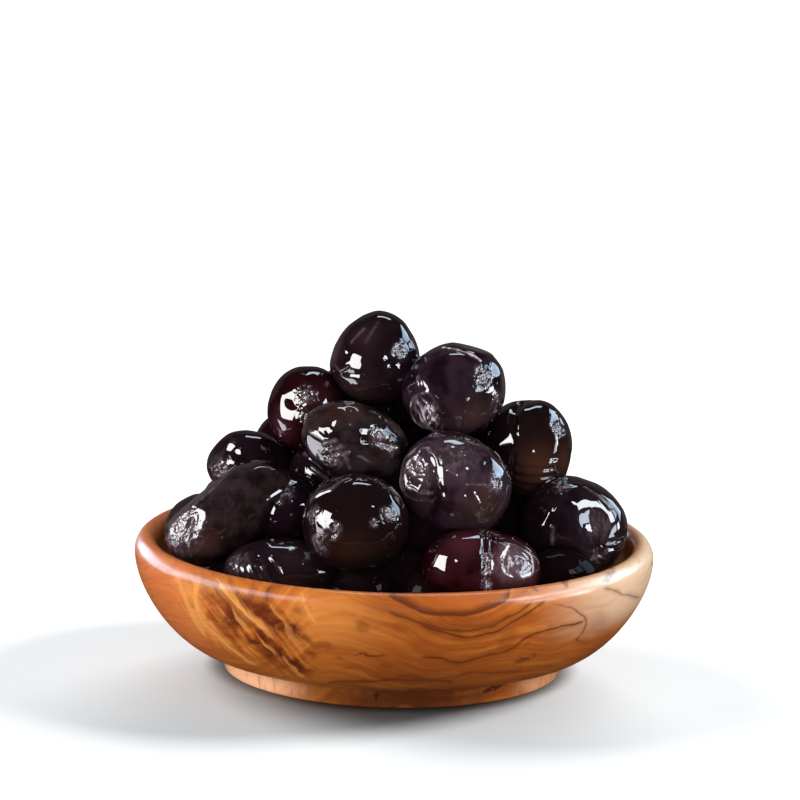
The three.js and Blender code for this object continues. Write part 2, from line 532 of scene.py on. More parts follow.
    burrs: tuple[Stain, ...] = (
        Stain(-33.0, 21.0, 13.0, 8.0, -20.0, 1.0, 0.5), Stain(-24.0, 13.0, 8.0, 4.0, -25.0, 0.8, 0.5),
    )
    # Dark marks on the foot; the wide one in the middle is painted shade under the overhanging wall.
    foot_marks_and_shade: tuple[Stain, ...] = (
        Stain(-2.9, 2.8, 0.6, 2.2, 0.0, 1.0), Stain(23.3, 3.6, 3.0, 0.8, 8.0, 0.95),
        Stain(12.9, 1.5, 1.8, 1.6, 0.0, 0.7), Stain(-10.5, 3.6, 4.5, 1.3, 0.0, 0.55),
        Stain(3.0, 2.2, 22.0, 3.6, 0.0, 0.9, 0.7),
    )

    def grain(self, graph: Graph, at: Socket, x: Socket, z: Socket) -> Socket:
        """The height in the grain, in millimetres: the growth lines are its level lines.

        Args:
            graph: The material's nodes.
            at: The place, in millimetres.
            x: How far right it is.
            z: How high it is.

        Returns:
            The height.
        """
        leftward = graph.math("MAXIMUM", graph.math("SUBTRACT", -18.0, x), 0.0)
        level = graph.math("MULTIPLY_ADD", leftward, 0.75, z)
        broad = graph.times(graph.math("SUBTRACT", graph.noise(at, 0.03, 1.0), 0.5), 22.0)
        fine = graph.times(graph.math("SUBTRACT", graph.noise(at, 0.14, 2.0), 0.5), 3.0)
        level = graph.math("ADD", graph.math("ADD", level, broad), fine)
        for knot in self.knots:
            offset = graph.vector("DIVIDE", graph.vector("SUBTRACT", at, knot.at), knot.reach)
            fall = graph.times(graph.vector("DOT_PRODUCT", offset, offset), -1.0)
            level = graph.math("ADD", level, graph.times(graph.math("EXPONENT", fall), knot.height))
        return level

    def read(self, graph: Graph) -> WoodPlace:
        """Reads the place on the dish, plain and wavering.

        Args:
            graph: The material's nodes.

        Returns:
            The place.
        """
        at = graph.millimetres()
        x, y, z = graph.add("ShaderNodeSeparateXYZ", {0: at}).outputs
        wave = graph.math("SUBTRACT", graph.noise(at, 0.25, 1.0), 0.5)
        shake = graph.math("SUBTRACT", graph.noise(at, 0.5, 2.0), 0.5)
        across = graph.math("MULTIPLY_ADD", shake, 0.7, x)
        up = graph.math("MULTIPLY_ADD", wave, 1.1, z)
        spot = graph.point(graph.math("MULTIPLY_ADD", wave, 3.0, across),
                           graph.math("MULTIPLY_ADD", shake, 2.6, up))
        return WoodPlace(at, x, y, z, self.grain(graph, at, x, z), wave, across, up, spot,
                         graph.noise(at, 0.3, 1.0), graph.rise(y, -14.0, 0.0, 0.0, 1.0))

    def lines(self, graph: Graph, place: WoodPlace, spacing: float, width: float) -> Socket:
        """Thin growth lines, some strong and some faint.

        Args:
            graph: The material's nodes.
            place: The place on the dish.
            spacing: From line to line, in millimetres.
            width: A line's share of the spacing.

        Returns:
            How dark the lines are, from 0 to 1.
        """
        turns = graph.math("DIVIDE", place.level, spacing)
        offset = graph.math("ABSOLUTE", graph.math("SUBTRACT", graph.math("FRACT", turns), 0.5))
        core = graph.rise(offset, 0.0, width, 0.0, 1.0)
        own = graph.add("ShaderNodeTexWhiteNoise", {"W": graph.math("FLOOR", turns)}, noise_dimensions="1D")
        patchy = graph.rise(graph.noise(place.at, 0.06, 1.0), 0.36, 0.6)
        return graph.times(core, graph.rise(own.outputs[0], 0.1, 0.9), patchy)

    def run(self, graph: Graph, places: tuple[Pair, ...], along: Socket, upright: bool = False) -> Socket:
        """Where a vein runs.

        Args:
            graph: The material's nodes.
            places: The places that it runs through.
            along: How far along the vein's own direction, in millimetres.
            upright: Whether that direction is up.

        Returns:
            The other coordinate of the vein there, in millimetres.
        """
        width, height = self.reach
        scale, shift = (1.0 / height, 0.0) if upright else (1.0 / width, 0.5)
        node = graph.add("ShaderNodeFloatCurve", {"Value": graph.math("MULTIPLY_ADD", along, scale, shift)})
        points = node.mapping.curves[0].points
        for index, (first, second) in enumerate(places):
            across, up = (second, first) if upright else (first, second)
            across, up = across / width + 0.5, up / height
            spot = (up, across) if upright else (across, up)
            if index in (0, 1):
                points[index].location = spot
            else:
                points.new(*spot)
        node.mapping.update()
        back = (width, -0.5 * width) if upright else (height, 0.0)
        return graph.math("MULTIPLY_ADD", node.outputs[0], *back)

    def vein(self, graph: Graph, vein: Vein, place: WoodPlace, across: Socket) -> Socket:
        """How strongly one vein shows.

        Args:
            graph: The material's nodes.
            vein: The vein.
            place: The place on the dish.
            across: The distance across, in millimetres.

        Returns:
            Its strength, from 0 to 1.
        """
        along, aside = (place.up, across) if vein.upright else (across, place.up)
        middle = self.run(graph, vein.places, along, vein.upright)
        away = graph.math("ABSOLUTE", graph.math("SUBTRACT", aside, middle))
        thick = graph.math("MULTIPLY_ADD", place.uneven, 1.6 * vein.width, 0.05 * vein.width)
        steps = graph.math("DIVIDE", away, thick)
        halo = graph.rise(steps, 0.5, 5.0, 0.0, 0.4 * vein.strength)
        near = graph.math("MAXIMUM", graph.rise(steps, 0.4, 1.5, 0.0, vein.strength), halo)
        first, last = vein.places[0][0], vein.places[-1][0]
        return graph.times(near, graph.rise(along, first - 0.5, first + 1.0),
                           graph.rise(along, last - 1.0, last + 0.5, 0.0, 1.0))

    def patches(self, graph: Graph, place: WoodPlace, *stains: Stain) -> Socket:
        """How strongly a group of stains shows on the front.

        Args:
            graph: The material's nodes.
            place: The place on the dish.
            stains: The stains.

        Returns:
            Their strength, from 0 to 1.
        """
        total = 0.0
        for stain in stains:
            middle, size = (stain.across, stain.up, 0.0), (stain.half_width, stain.half_height, 1.0)
            distance = graph.vector("LENGTH", graph.laid(place.spot, middle, stain.lean, size))
            edge = graph.rise(distance, 1.0 - stain.soft, 1.0 + stain.soft, 0.0, stain.strength)
            total = graph.math("MAXIMUM", total, edge)
        return graph.times(total, place.front)

    def ground(self, graph: Graph, place: WoodPlace) -> Socket:
        """The wood's colour without its marks.

        Args:
            graph: The material's nodes.
            place: The place on the dish.

        Returns:
            The colour.
        """
        along = graph.point(graph.times(place.x, 0.035), graph.times(place.y, 0.035),
                            graph.times(place.level, 0.4))
        band = graph.noise(along, 1.0)
        fine = graph.noise(graph.vector("MULTIPLY", along, (2.5, 2.5, 2.6)), 1.0, 3.0, 0.55)
        cloud = graph.noise(place.at, 0.06)
        colour = graph.lay(self.honey, self.amber, graph.rise(band, 0.38, 0.62))
        colour = graph.lay(colour, self.russet, graph.rise(cloud, 0.5, 0.72, 0.5))
        colour = graph.lay(colour, self.rosy, graph.rise(place.x, -48.0, -34.0, 0.0, 0.75))
        colour = graph.lay(colour, self.russet, graph.rise(fine, 0.45, 0.75, 0.38))
        colour = graph.lay(colour, self.cream, graph.rise(fine, 0.28, 0.48, 0.0, 0.18))
        radius = graph.vector("LENGTH", graph.point(place.x, place.y))
        colour = graph.lay(colour, self.pale, graph.rise(place.x, 30.0, 54.0, 0.95),
                           graph.rise(place.z, 6.0, 26.0), graph.rise(radius, 55.0, 58.6))
        return graph.lay(colour, self.cream, self.patches(graph, place, self.light_patch))

    def lay_cap(self, graph: Graph, place: WoodPlace, colour: Socket) -> Socket:
        """Lays the darker wood over a curved edge in the middle of the front, darkest just under the lip:
        partly the wood's own figure, partly painted shade of the lip.

        Args:
            graph: The material's nodes.
            place: The place on the dish.
            colour: The colour so far.

        Returns:
            The colour.
        """
        beyond = graph.math("SUBTRACT", place.up, self.run(graph, self.cap, place.x))
        inside = graph.times(graph.rise(place.x, -2.0, 0.0), graph.rise(place.x, 25.4, 26.2, 0.0, 1.0),
                             place.front)
        colour = graph.lay(colour, self.amber, graph.rise(beyond, -0.3, 0.4, 0.8), inside)
        # The umber band under the lip is partly painted shade.
        return graph.lay(colour, self.umber, graph.rise(beyond, -0.4, 0.1),
                         graph.rise(beyond, 0.3, 2.2, 0.0, 0.85), inside)

    def lay_foot(self, graph: Graph, place: WoodPlace, colour: Socket) -> Socket:
        """Paints highlight on both ends of the foot, and ribs it.

        Args:
            graph: The material's nodes.
            place: The place on the dish.
            colour: The colour so far.

        Returns:
            The colour.
        """
        low = graph.rise(place.z, 4.6, 5.2, 0.0, 1.0)
        # Paints highlight on both ends of the foot.
        colour = graph.lay(colour, self.blond, self.patches(graph, place, *self.painted_foot_highlight), low)
        ribs = graph.noise(graph.vector("MULTIPLY", place.at, (0.7, 0.7, 0.1)), 1.0)
        return graph.lay(colour, self.russet, graph.rise(ribs, 0.5, 0.7, 0.5), low)

    def lay_blots(self, graph: Graph, place: WoodPlace, colour: Socket) -> Socket:
        """Lays the soft stains, one of them a painted shade low in the middle, and the ragged blots.

        Args:
            graph: The material's nodes.
            place: The place on the dish.
            colour: The colour so far.

        Returns:
            The colour.
        """
        colour = graph.lay(colour, self.blotch, self.patches(graph, place, *self.shades))
        ragged = graph.rise(graph.noise(place.at, 0.6, 3.0, 0.6), 0.36, 0.54, 1.0, 0.68)
        return graph.lay(colour, self.blotch, self.patches(graph, place, *self.blots), ragged)

    def lay_fibres(self, graph: Graph, place: WoodPlace, colour: Socket) -> Socket:
        """Lays short fibres that slant down to the right over the burrs, and the light streaks.

        Args:
            graph: The material's nodes.
            place: The place on the dish.
            colour: The colour so far.

        Returns:
            The colour.
        """
        calm = graph.point(graph.math("MULTIPLY_ADD", place.wave, 3.0, place.x), place.z)
        fibre = graph.noise(graph.laid(calm, (0.0, 0.0, 0.0), -50.0, (11.0, 1.5, 1.0)), 1.0, 1.0)
        burr = self.patches(graph, place, *self.burrs)
        colour = graph.lay(colour, self.blotch, graph.rise(fibre, 0.52, 0.4, 0.6), burr)
        for streak in self.streaks:
            shown = self.vein(graph, streak, place, place.across)
            colour = graph.lay(colour, self.cream, shown, place.front)
        return graph.lay(colour, self.cream, graph.rise(fibre, 0.54, 0.66, 0.6), burr)

    def lay_veins(self, graph: Graph, place: WoodPlace, colour: Socket) -> Socket:
        """Lays the foot's dark marks with a painted shade across its middle, the veins and the growth
        lines.

        Args:
            graph: The material's nodes.
            place: The place on the dish.
            colour: The colour so far.

        Returns:
            The colour.
        """
        colour = graph.lay(colour, self.char, self.patches(graph, place, *self.foot_marks_and_shade))
        dark = 0.0
        for vein in self.veins:
            dark = graph.math("MAXIMUM", dark, self.vein(graph, vein, place, place.x))
        main = graph.times(self.lines(graph, place, self.line_spacing, self.line_width),
                           graph.rise(place.y, -22.0, -2.0, 1.0, 0.12))
        faint = graph.times(self.lines(graph, place, self.faint_spacing, self.faint_width),
                            self.faint_strength)
        growth = graph.math("MAXIMUM", main, faint)
        return graph.lay(colour, self.line, graph.math("MAXIMUM", graph.times(dark, place.front), growth))

    def make(self) -> bpy.types.Material:
        """Builds the material.

        Returns:
            The material.
        """
        graph = Graph("olive_wood_polished")
        place = self.read(graph)
        colour = self.ground(graph, place)
        for layer in (self.lay_cap, self.lay_foot, self.lay_blots, self.lay_fibres, self.lay_veins):
            colour = layer(graph, place, colour)
        grit = graph.noise(graph.vector("MULTIPLY", place.at, (0.4, 0.4, 3.0)), 1.0)
        normal = graph.bump(grit, self.grit_depth * MM, 0.5)
        return graph.finish(base_color=colour, roughness=0.45, specular_ior_level=0.05, coat_weight=0.4,
                            coat_roughness=0.19, normal=normal, coat_normal=normal)


class Kind(Enum):
    """The sorts of olive in the heap, by skin, with one darker copy of the skin as painted shade for the
    gaps.
    """

    BLACK = "black"
    PLUM = "plum"
    WINE = "wine"
    BROWN = "brown"
    # A darker, nearly unglazed copy of the skin for olives in the gaps and for the core: painted shade.
    DEEP = "deep"


@dataclass(frozen=True)
class OliveSkin:
    """Wet olive skin: nearly black, with a tint that shows where it is thin or puckered."""

    kind: Kind
    deep: Colour
    tinge: Colour
    blush: Colour
    # The first colour is the dull lilac of dusty skin; pale, laid over it on fold crests, rims, ridges and
    # flecks, is painted highlight.
    dust_and_highlight: Colour = (0.1, 0.068, 0.08)
    pale: Colour = (0.55, 0.45, 0.52)
    coat: float = 1.0
    fold_depth: float = 0.8
    drop_height: float = 0.22

    def make(self) -> bpy.types.Material:
        """Builds the material.

        Returns:
            The material.
        """
        graph = Graph(f"olive_skin_{self.kind.value}")
        at = graph.millimetres()
        mottle = graph.rise(graph.noise(at, 0.22, 3.0), 0.35, 0.7)
        colour = graph.lay(self.deep, self.tinge, mottle, graph.attribute("tint"))
        colour = graph.lay(colour, self.blush, graph.attribute("blush"))
        # Dust, and painted highlight: the specks and the higher values lay pale flecks and lines that stand
        # in for glints.
        tall = graph.vector("MULTIPLY", at, (1.0, 1.0, 0.5))
        speck = graph.rise(graph.noise(tall, 0.95, 1.5), 0.45, 0.66, 1.7, 0.85)
        dust_and_highlight = graph.times(graph.attribute("dust_and_highlight"), speck)
        colour = graph.lay(colour, self.dust_and_highlight, graph.rise(dust_and_highlight, 0.0, 0.5))
        colour = graph.lay(colour, self.pale, graph.rise(dust_and_highlight, 0.5, 1.0))
        folds = graph.times(graph.noise(at, 0.75), graph.attribute("pucker"))
        skin = graph.bump(folds, self.fold_depth * MM, 0.8)
        skin = graph.bump(self.drops(graph, at), self.drop_height * MM, 0.8, skin)
        return graph.finish(base_color=colour, roughness=0.6, specular_ior_level=0.0, coat_weight=self.coat,
                            coat_roughness=0.025, coat_ior=1.45, normal=skin, coat_normal=skin)

    def drops(self, graph: Graph, at: Socket) -> Socket:
        """Small drops of brine that stand on the skin, here and there.

        Args:
            graph: The material's nodes.
            at: The place, in millimetres.

        Returns:
            Their height, from 0 to 1.
        """
        cells = graph.add("ShaderNodeTexVoronoi", {"Vector": at, "Scale": 0.3})
        own = graph.add("ShaderNodeSeparateXYZ", {0: cells.outputs["Color"]})
        radius = graph.math("MULTIPLY_ADD", own.outputs[1], 0.13, 0.08)
        dome = graph.rise(graph.math("DIVIDE", cells.outputs["Distance"], radius), 0.0, 1.0, 0.0, 1.0)
        wet = graph.rise(graph.noise(at, 0.13, 1.0), 0.42, 0.55)
        return graph.times(dome, wet, graph.rise(own.outputs[0], 0.4, 0.45))


SKINS = {skin.kind: skin for skin in (
    OliveSkin(Kind.BLACK, (0.0065, 0.003, 0.0045), (0.022, 0.0115, 0.018), (0.036, 0.017, 0.018)),
    OliveSkin(Kind.PLUM, (0.0075, 0.003, 0.0055), (0.03, 0.0155, 0.0245), (0.046, 0.024, 0.02)),
    OliveSkin(Kind.WINE, (0.009, 0.0012, 0.0022), (0.032, 0.0045, 0.0085), (0.08, 0.02, 0.03)),
    OliveSkin(Kind.BROWN, (0.0075, 0.0035, 0.0038), (0.028, 0.0175, 0.0195), (0.06, 0.022, 0.014)),
    # The last skin is painted shade: darker, with almost no coat.
    OliveSkin(Kind.DEEP, (0.005, 0.0022, 0.0028), (0.012, 0.006, 0.007), (0.02, 0.01, 0.01), coat=0.05),
)}


@dataclass
class Dish:
    """The turned dish: a low foot, a bellied wall and a rounded lip.

    Each spring is where the curve of the wall, belly, lip or mouth is drawn towards.
    """

    radius: float = 60.0
    belly: float = 27.3
    rim: float = 31.05
    crest: float = 56.9
    mouth: float = 54.9
    mouth_height: float = 27.8
    floor: float = 8.5
    floor_radius: float = 27.0
    foot: float = 39.1
    foot_flare: float = 0.3
    foot_height: float = 4.9
    foot_edge: float = 0.6
    recess: float = 31.0
    recess_depth: float = 1.2
    wall_spring: Pair = (49.3, 4.5)
    belly_spring: float = 18.3
    lip_spring: Pair = (58.4, 29.7)
    mouth_spring: Pair = (55.8, 29.75)
    turns: int = 256
    wood: OliveWood = field(default_factory=OliveWood)

    def inner_wall(self, steps: int) -> list[Pair]:
        """The inside, from the mouth down to the level floor."""
        return bezier([(self.mouth, self.mouth_height), (self.mouth - 0.4, 17.5),
                       (self.floor_radius + 17.0, self.floor), (self.floor_radius, self.floor)], steps)

    def profile(self) -> list[Pair]:
        """The section, from the axis underneath round to the axis inside.

        Returns:
            Its radii and heights, in millimetres.
        """
        edge = self.foot_edge
        foot = [(0.0, self.recess_depth), (self.recess - 1.6, self.recess_depth),
                (self.recess - 0.5, 0.7), (self.recess, 0.15), (self.recess + 0.4, 0.0),
                (self.foot - edge, 0.0), (self.foot - 0.3 * edge, 0.3 * edge), (self.foot, edge),
                (self.foot + 0.5 * self.foot_flare, 0.5 * self.foot_height)]
        junction = bezier([(self.foot + self.foot_flare, self.foot_height - 0.9),
                           (self.foot + self.foot_flare, self.foot_height - 0.1),
                           (self.foot + 0.5, self.foot_height), (self.foot + 1.4, self.foot_height)], 3)
        wall = bezier([(self.foot + 1.6, self.foot_height), self.wall_spring,
                       (self.radius, self.belly_spring), (self.radius, self.belly)], 26)
        outside = bezier([(self.radius, self.belly), (self.radius, self.lip_spring[1]),
                          (self.lip_spring[0], self.rim), (self.crest, self.rim)], 9)
        inside = bezier([(self.crest, self.rim), (self.mouth_spring[0], self.rim),
                         (self.mouth + 0.1, self.mouth_spring[1]), (self.mouth, self.mouth_height)], 7)
        floor = [(0.0, self.floor)]
        return foot + junction + wall + outside[1:] + inside[1:] + self.inner_wall(18)[1:] + floor

    def build(self) -> bpy.types.Object:
        """Builds and dresses the dish."""
        mesh = as_mesh(turned(self.profile(), self.turns), "turned_dish")
        return add_piece("turned_dish", mesh, self.wood.make(), "olive_wood", "dish")


def facing(spot: Spot, side: float = 0.0) -> np.ndarray:
    """The direction from an olive's centre to a spot on the half of it that one side shows.

    Args:
        spot: How far right and up the spot shows, in radii.
        side: The side, in degrees from the front towards the right.

    Returns:
        A vector of length 1 in the frame.
    """
    length = math.hypot(*spot)
    scale = min(1.0, 0.995 / length) if length else 1.0
    right, up = spot[0] * scale, spot[1] * scale
    near = math.sqrt(1.0 - right * right - up * up)
    cosine, sine = math.cos(VIEW_ELEVATION), math.sin(VIEW_ELEVATION)
    ahead, height = near * cosine - up * sine, up * cosine + near * sine
    turn = math.radians(side)
    return np.array((right * math.cos(turn) + ahead * math.sin(turn),
                     right * math.sin(turn) - ahead * math.cos(turn), height))


@dataclass
class Skin:
    """What the marks of one olive add: relief in millimetres, and the shades of its skin."""

    towards: np.ndarray
    length: np.ndarray
    radius: float
    relief: np.ndarray
    blush: np.ndarray
    dust_and_highlight: np.ndarray
    pucker: np.ndarray
    side: float

    def facing(self, spot: Spot) -> np.ndarray:
        """The direction to a spot that the olive's own side shows."""
        return facing(spot, self.side)

    def angle(self, spot: Spot) -> np.ndarray:
        """The distance of every point from a spot, in radians."""
        return np.arccos(np.clip(self.towards @ self.facing(spot), -1.0, 1.0))

    def near(self, spot: Spot, reach: float, power: int = 2) -> np.ndarray:
        """How near every point is to a spot: from 1 there to about a third at the reach."""
        return np.exp(-((self.angle(spot) / reach) ** power))

    def apart(self, path: tuple[Spot, ...]) -> np.ndarray:
        """The distance of every point from a path.

        Args:
            path: Its spots, joined by the shortest ways.

        Returns:
            The distances, in radians.
        """
        away = np.full(len(self.towards), math.inf)
        for first, second in zip(path, path[1:]):
            start, end = self.facing(first), self.facing(second)
            reach = math.acos(float(np.clip(start @ end, -1.0, 1.0)))
            across = unit(np.cross(start, end))
            turn = np.arctan2(self.towards @ np.cross(across, start), self.towards @ start)
            beyond = np.maximum(np.maximum(-turn, turn - reach), 0.0)
            aside = np.arcsin(np.clip(self.towards @ across, -1.0, 1.0))
            away = np.minimum(away, np.hypot(aside, beyond))
        return away


@dataclass(frozen=True)
class Press:
    """A broad, soft hollow, or a swelling where the depth is negative."""

    spot: Spot
    depth: float
    reach: float

    def mark(self, skin: Skin) -> None:
        """Lowers the skin round the spot."""
        skin.relief -= self.depth * skin.near(self.spot, self.reach)


@dataclass(frozen=True)
class Beads:
    """Small swellings of one size, which each catch a light."""

    spots: tuple[Spot, ...]
    height: float = 0.28
    reach: float = 0.07

    def mark(self, skin: Skin) -> None:
        """Raises the skin at each spot."""
        for spot in self.spots:
            skin.relief += self.height * skin.near(spot, self.reach)


@dataclass(frozen=True)
class Blush:
    """A patch of skin whose own colour shows more."""

    spot: Spot
    amount: float
    reach: float

    def mark(self, skin: Skin) -> None:
        """Shades the skin round the spot."""
        skin.blush = np.maximum(skin.blush, self.amount * skin.near(self.spot, self.reach))


@dataclass(frozen=True)
class BloomAndSheen:
    """A patch of dull, dusty skin; on some olives its pale tone is a painted sheen."""

    spot: Spot
    amount: float
    reach: float

    def mark(self, skin: Skin) -> None:
        """Lays dust round the spot, a painted sheen on some olives."""
        skin.dust_and_highlight = np.maximum(skin.dust_and_highlight, self.amount * skin.near(self.spot, self.reach))


@dataclass(frozen=True)
class Facet:
    """A nearly level place, as where olives were packed against each other."""

    spot: Spot
    depth: float
    soft: float = 0.6

    def mark(self, skin: Skin) -> None:
        """Cuts the skin back to a plane, rounded where it meets the rest.

        Args:
            skin: The olive's skin.
        """
        cosine = skin.towards @ skin.facing(self.spot)
        front = cosine > GRAZING
        length = skin.length[front] + skin.relief[front]
        level = ((skin.length * cosine).max() - self.depth) / cosine[front]
        kept = np.clip(0.5 + 0.5 * (level - length) / self.soft, 0.0, 1.0)
        cut = kept * length + (1.0 - kept) * level - self.soft * kept * (1.0 - kept)
        skin.relief[front] += cut - length


@dataclass(frozen=True)
class Tile:
    """A small level place, tilted against the skin round it."""

    spot: Spot
    faces: Spot
    reach: float

    def mark(self, skin: Skin) -> None:
        """Lays the skin round the spot in one plane.

        Args:
            skin: The olive's skin.
        """
        angle = skin.angle(self.spot)
        near = angle < self.reach
        normal = skin.facing(self.faces)
        middle = angle.argmin()
        height = skin.length[middle] * (skin.towards[middle] @ normal)
        level = height / (skin.towards[near] @ normal) - skin.length[near]
        weight = 1.0 - (angle[near] / self.reach) ** 4
        skin.relief[near] += weight * (level - skin.relief[near])
        skin.dust_and_highlight[near] *= 1.0 - weight
        skin.pucker[near] *= 1.0 - weight


@dataclass(frozen=True)
class Polish:
    """A smooth place, which shows a light whole."""

    spot: Spot
    reach: float

    def mark(self, skin: Skin) -> None:
        """Takes away what the marks so far have done round the spot.

        Args:
            skin: The olive's skin.
        """
        kept = 1.0 - skin.near(self.spot, self.reach, 4)
        skin.relief *= kept
        skin.dust_and_highlight *= kept
        skin.pucker *= kept


@dataclass(frozen=True)
class Crease:
    """A groove through spots, or a ridge where the depth is negative, with a low lip beside it.

    The lip's height is for the depth, and its place, the edge and the waver are for the width.
    """

    path: tuple[Spot, ...]
    depth: float
    width: float
    pale: float = 0.3
    lip: float = 0.3
    lip_place: float = 1.9
    edge: float = 3.4
    waver: float = 0.35

    def mark(self, skin: Skin) -> None:
        """Cuts the groove.

        Args:
            skin: The olive's skin.
        """
        away = skin.apart(self.path)
        close = away < NEARBY
        bends = lumps(skin.towards[close] * skin.radius, 2.5, self.depth * 40.0 + self.width)
        steps = np.abs(away[close] * skin.radius + self.waver * bends * self.width) / self.width
        groove = np.exp(-(steps**2)) - self.lip * np.exp(-((steps - self.lip_place) ** 2) * 1.4)
        skin.relief[close] -= self.depth * groove * smooth(self.edge, steps)
        # A ridge is laid pale along its top: painted highlight.
        if self.depth < 0.0:
            skin.dust_and_highlight[close] = np.maximum(skin.dust_and_highlight[close], self.pale * np.exp(-(steps**2)))


@dataclass(frozen=True)
class Ring:
    """A raised rim round a spot, over a given arc of it in degrees from right towards up."""

    spot: Spot
    reach: float
    height: float
    width: float
    middle: float = 0.0
    arc: float = 4.0
    pale: float = 0.15

    def mark(self, skin: Skin) -> None:
        """Raises the rim.

        Args:
            skin: The olive's skin.
        """
        centre = skin.facing(self.spot)
        right = unit(np.cross(np.array((0.0, 0.0, 1.0)), -centre))
        around = np.arctan2(skin.towards @ np.cross(centre, right), skin.towards @ right)
        turned = np.abs((around - math.radians(self.middle) + math.pi) % (2 * math.pi) - math.pi)
        aside = skin.angle(self.spot) - self.reach * (1.0 + 0.08 * np.sin(3 * around))
        close = np.abs(aside) < 0.3
        aside[close] += 0.07 * lumps(skin.towards[close] * skin.radius, 2.6, self.reach * 50.0)
        rim = np.exp(-((aside * skin.radius / self.width) ** 2))
        uneven = 0.75 + 0.25 * np.sin(5.0 * around + 9.0 * self.reach)
        rim *= uneven * smooth(self.arc, turned)
        skin.relief += self.height * rim
        # The rim is laid pale: painted highlight.
        skin.dust_and_highlight = np.maximum(skin.dust_and_highlight, self.pale * rim)


@dataclass(frozen=True)
class Pucker:
    """A crumpled place: folds that run round the spot, or lie in all directions.

    Its sink is for the depth, and dull is the dust between the folds; the fold crests are laid pale, a
    painted highlight.
    """

    spot: Spot
    reach: float
    depth: float
    rings: float = 0.5
    fold: float = 1.7
    seed: float = 1.0
    crest_highlight: float = 0.4
    fine: float = 1.0
    upright: float = 1.0
    sink: float = 0.8
    dull: float = 0.16

    def mark(self, skin: Skin) -> None:
        """Folds the skin round the spot and sinks it a little.

        Args:
            skin: The olive's skin.
        """
        angle = skin.angle(self.spot)
        inside = angle < self.reach
        if not inside.any():
            return
        places = skin.towards[inside] * skin.radius * np.array((1.0, 1.0, 1.0 / self.upright))
        apart = angle[inside] * skin.radius
        near = smooth(self.reach, angle[inside]) ** 0.6
        bend = lumps(places, 3.2, self.seed)
        around = np.sin((apart + 1.8 * bend) * 2.0 * math.pi / self.fold)
        loose = 1.0 - 2.4 * np.abs(lumps(places + bend[:, None] * 0.8, self.fold * 0.85, self.seed + 5.0))
        broken = 0.55 + 0.45 * lumps(places, 2.4, self.seed + 9.0)
        folds = self.rings * around * broken + (1.0 - self.rings) * loose
        skin.relief[inside] += self.depth * near * (folds - self.sink)
        # Pale lines along the fold crests: painted highlight.
        crest = np.clip((folds - 0.15) / 0.7, 0.0, 1.0)
        skin.dust_and_highlight[inside] = np.maximum(skin.dust_and_highlight[inside], near * (self.dull + self.crest_highlight * crest))
        skin.pucker[inside] = np.maximum(skin.pucker[inside], self.fine * near)


Mark = Press | Beads | Blush | BloomAndSheen | Facet | Tile | Polish | Crease | Ring | Pucker


@dataclass(frozen=True)
class Flat:
    """A pressed place: the direction it faces, its depth for the radius, and its spread."""

    facing: Point
    depth: float
    spread: float


@dataclass(frozen=True)
class Olive:
    """One olive: its place, size and lie, and the marks on its skin."""

    at: Point
    long: float
    wide: float
    turn: float
    tilt: float
    point: float = 0.0
    square: float = 2.0
    flats: tuple[Flat, ...] = ()
    kind: Kind = Kind.BLACK
    tint: float = 0.5
    detail: int = 20
    marks: tuple[Mark, ...] = ()
    side: float = 0.0

    def shape(self, sphere: np.ndarray) -> np.ndarray:
        """The plain form, as the frame has it.

        Args:
            sphere: Points of a unit sphere.

        Returns:
            The points from the olive's centre, in millimetres.
        """
        turn, tilt = math.radians(self.turn), math.radians(self.tilt)
        tip = np.array((math.cos(tilt) * math.cos(turn), math.cos(tilt) * math.sin(turn), math.sin(tilt)))
        side = np.array((math.sin(turn), -math.cos(turn), 0.0))
        back = np.cross(tip, side)
        if self.marks:
            front = np.array((side, back, tip)) @ facing((0.0, 0.0), self.side)
            sphere = sphere + CROWDING * front
            sphere = sphere / np.linalg.norm(sphere, axis=1)[:, None]
        size = (np.abs(sphere) ** self.square).sum(axis=1) ** (-1.0 / self.square)
        body = sphere * size[:, None]
        narrow = 1.0 - self.point * body[:, 2]
        half = self.wide / 2.0
        points = (np.outer(body[:, 0] * narrow * half, side) + np.outer(body[:, 1] * narrow * half, back)
                  + np.outer(body[:, 2] * self.long / 2.0, tip))
        towards = points / np.linalg.norm(points, axis=1)[:, None]
        radius = np.ones(len(points))
        for flat in self.flats:
            radius -= flat.depth * np.exp((towards @ unit(np.array(flat.facing)) - 1.0) / flat.spread)
        return points * radius[:, None]

    def skinned(self, sphere: np.ndarray, seed: float) -> tuple[np.ndarray, Skin]:
        """The form with its skin's relief.

        Args:
            sphere: Points of a unit sphere.
            seed: A number of the olive's own.

        Returns:
            The points in the frame, in millimetres, and the skin's shades.
        """
        points = self.shape(sphere)
        length = np.linalg.norm(points, axis=1)
        blank = np.zeros((4, len(points)))
        skin = Skin(points / length[:, None], length, self.wide / 2.0, *blank, self.side)
        for height, size, shift in SWELLS:
            skin.relief += height * lumps(points, size, seed + shift)
        for mark in self.marks:
            mark.mark(skin)
        return points + skin.towards * skin.relief[:, None] + np.array(self.at), skin


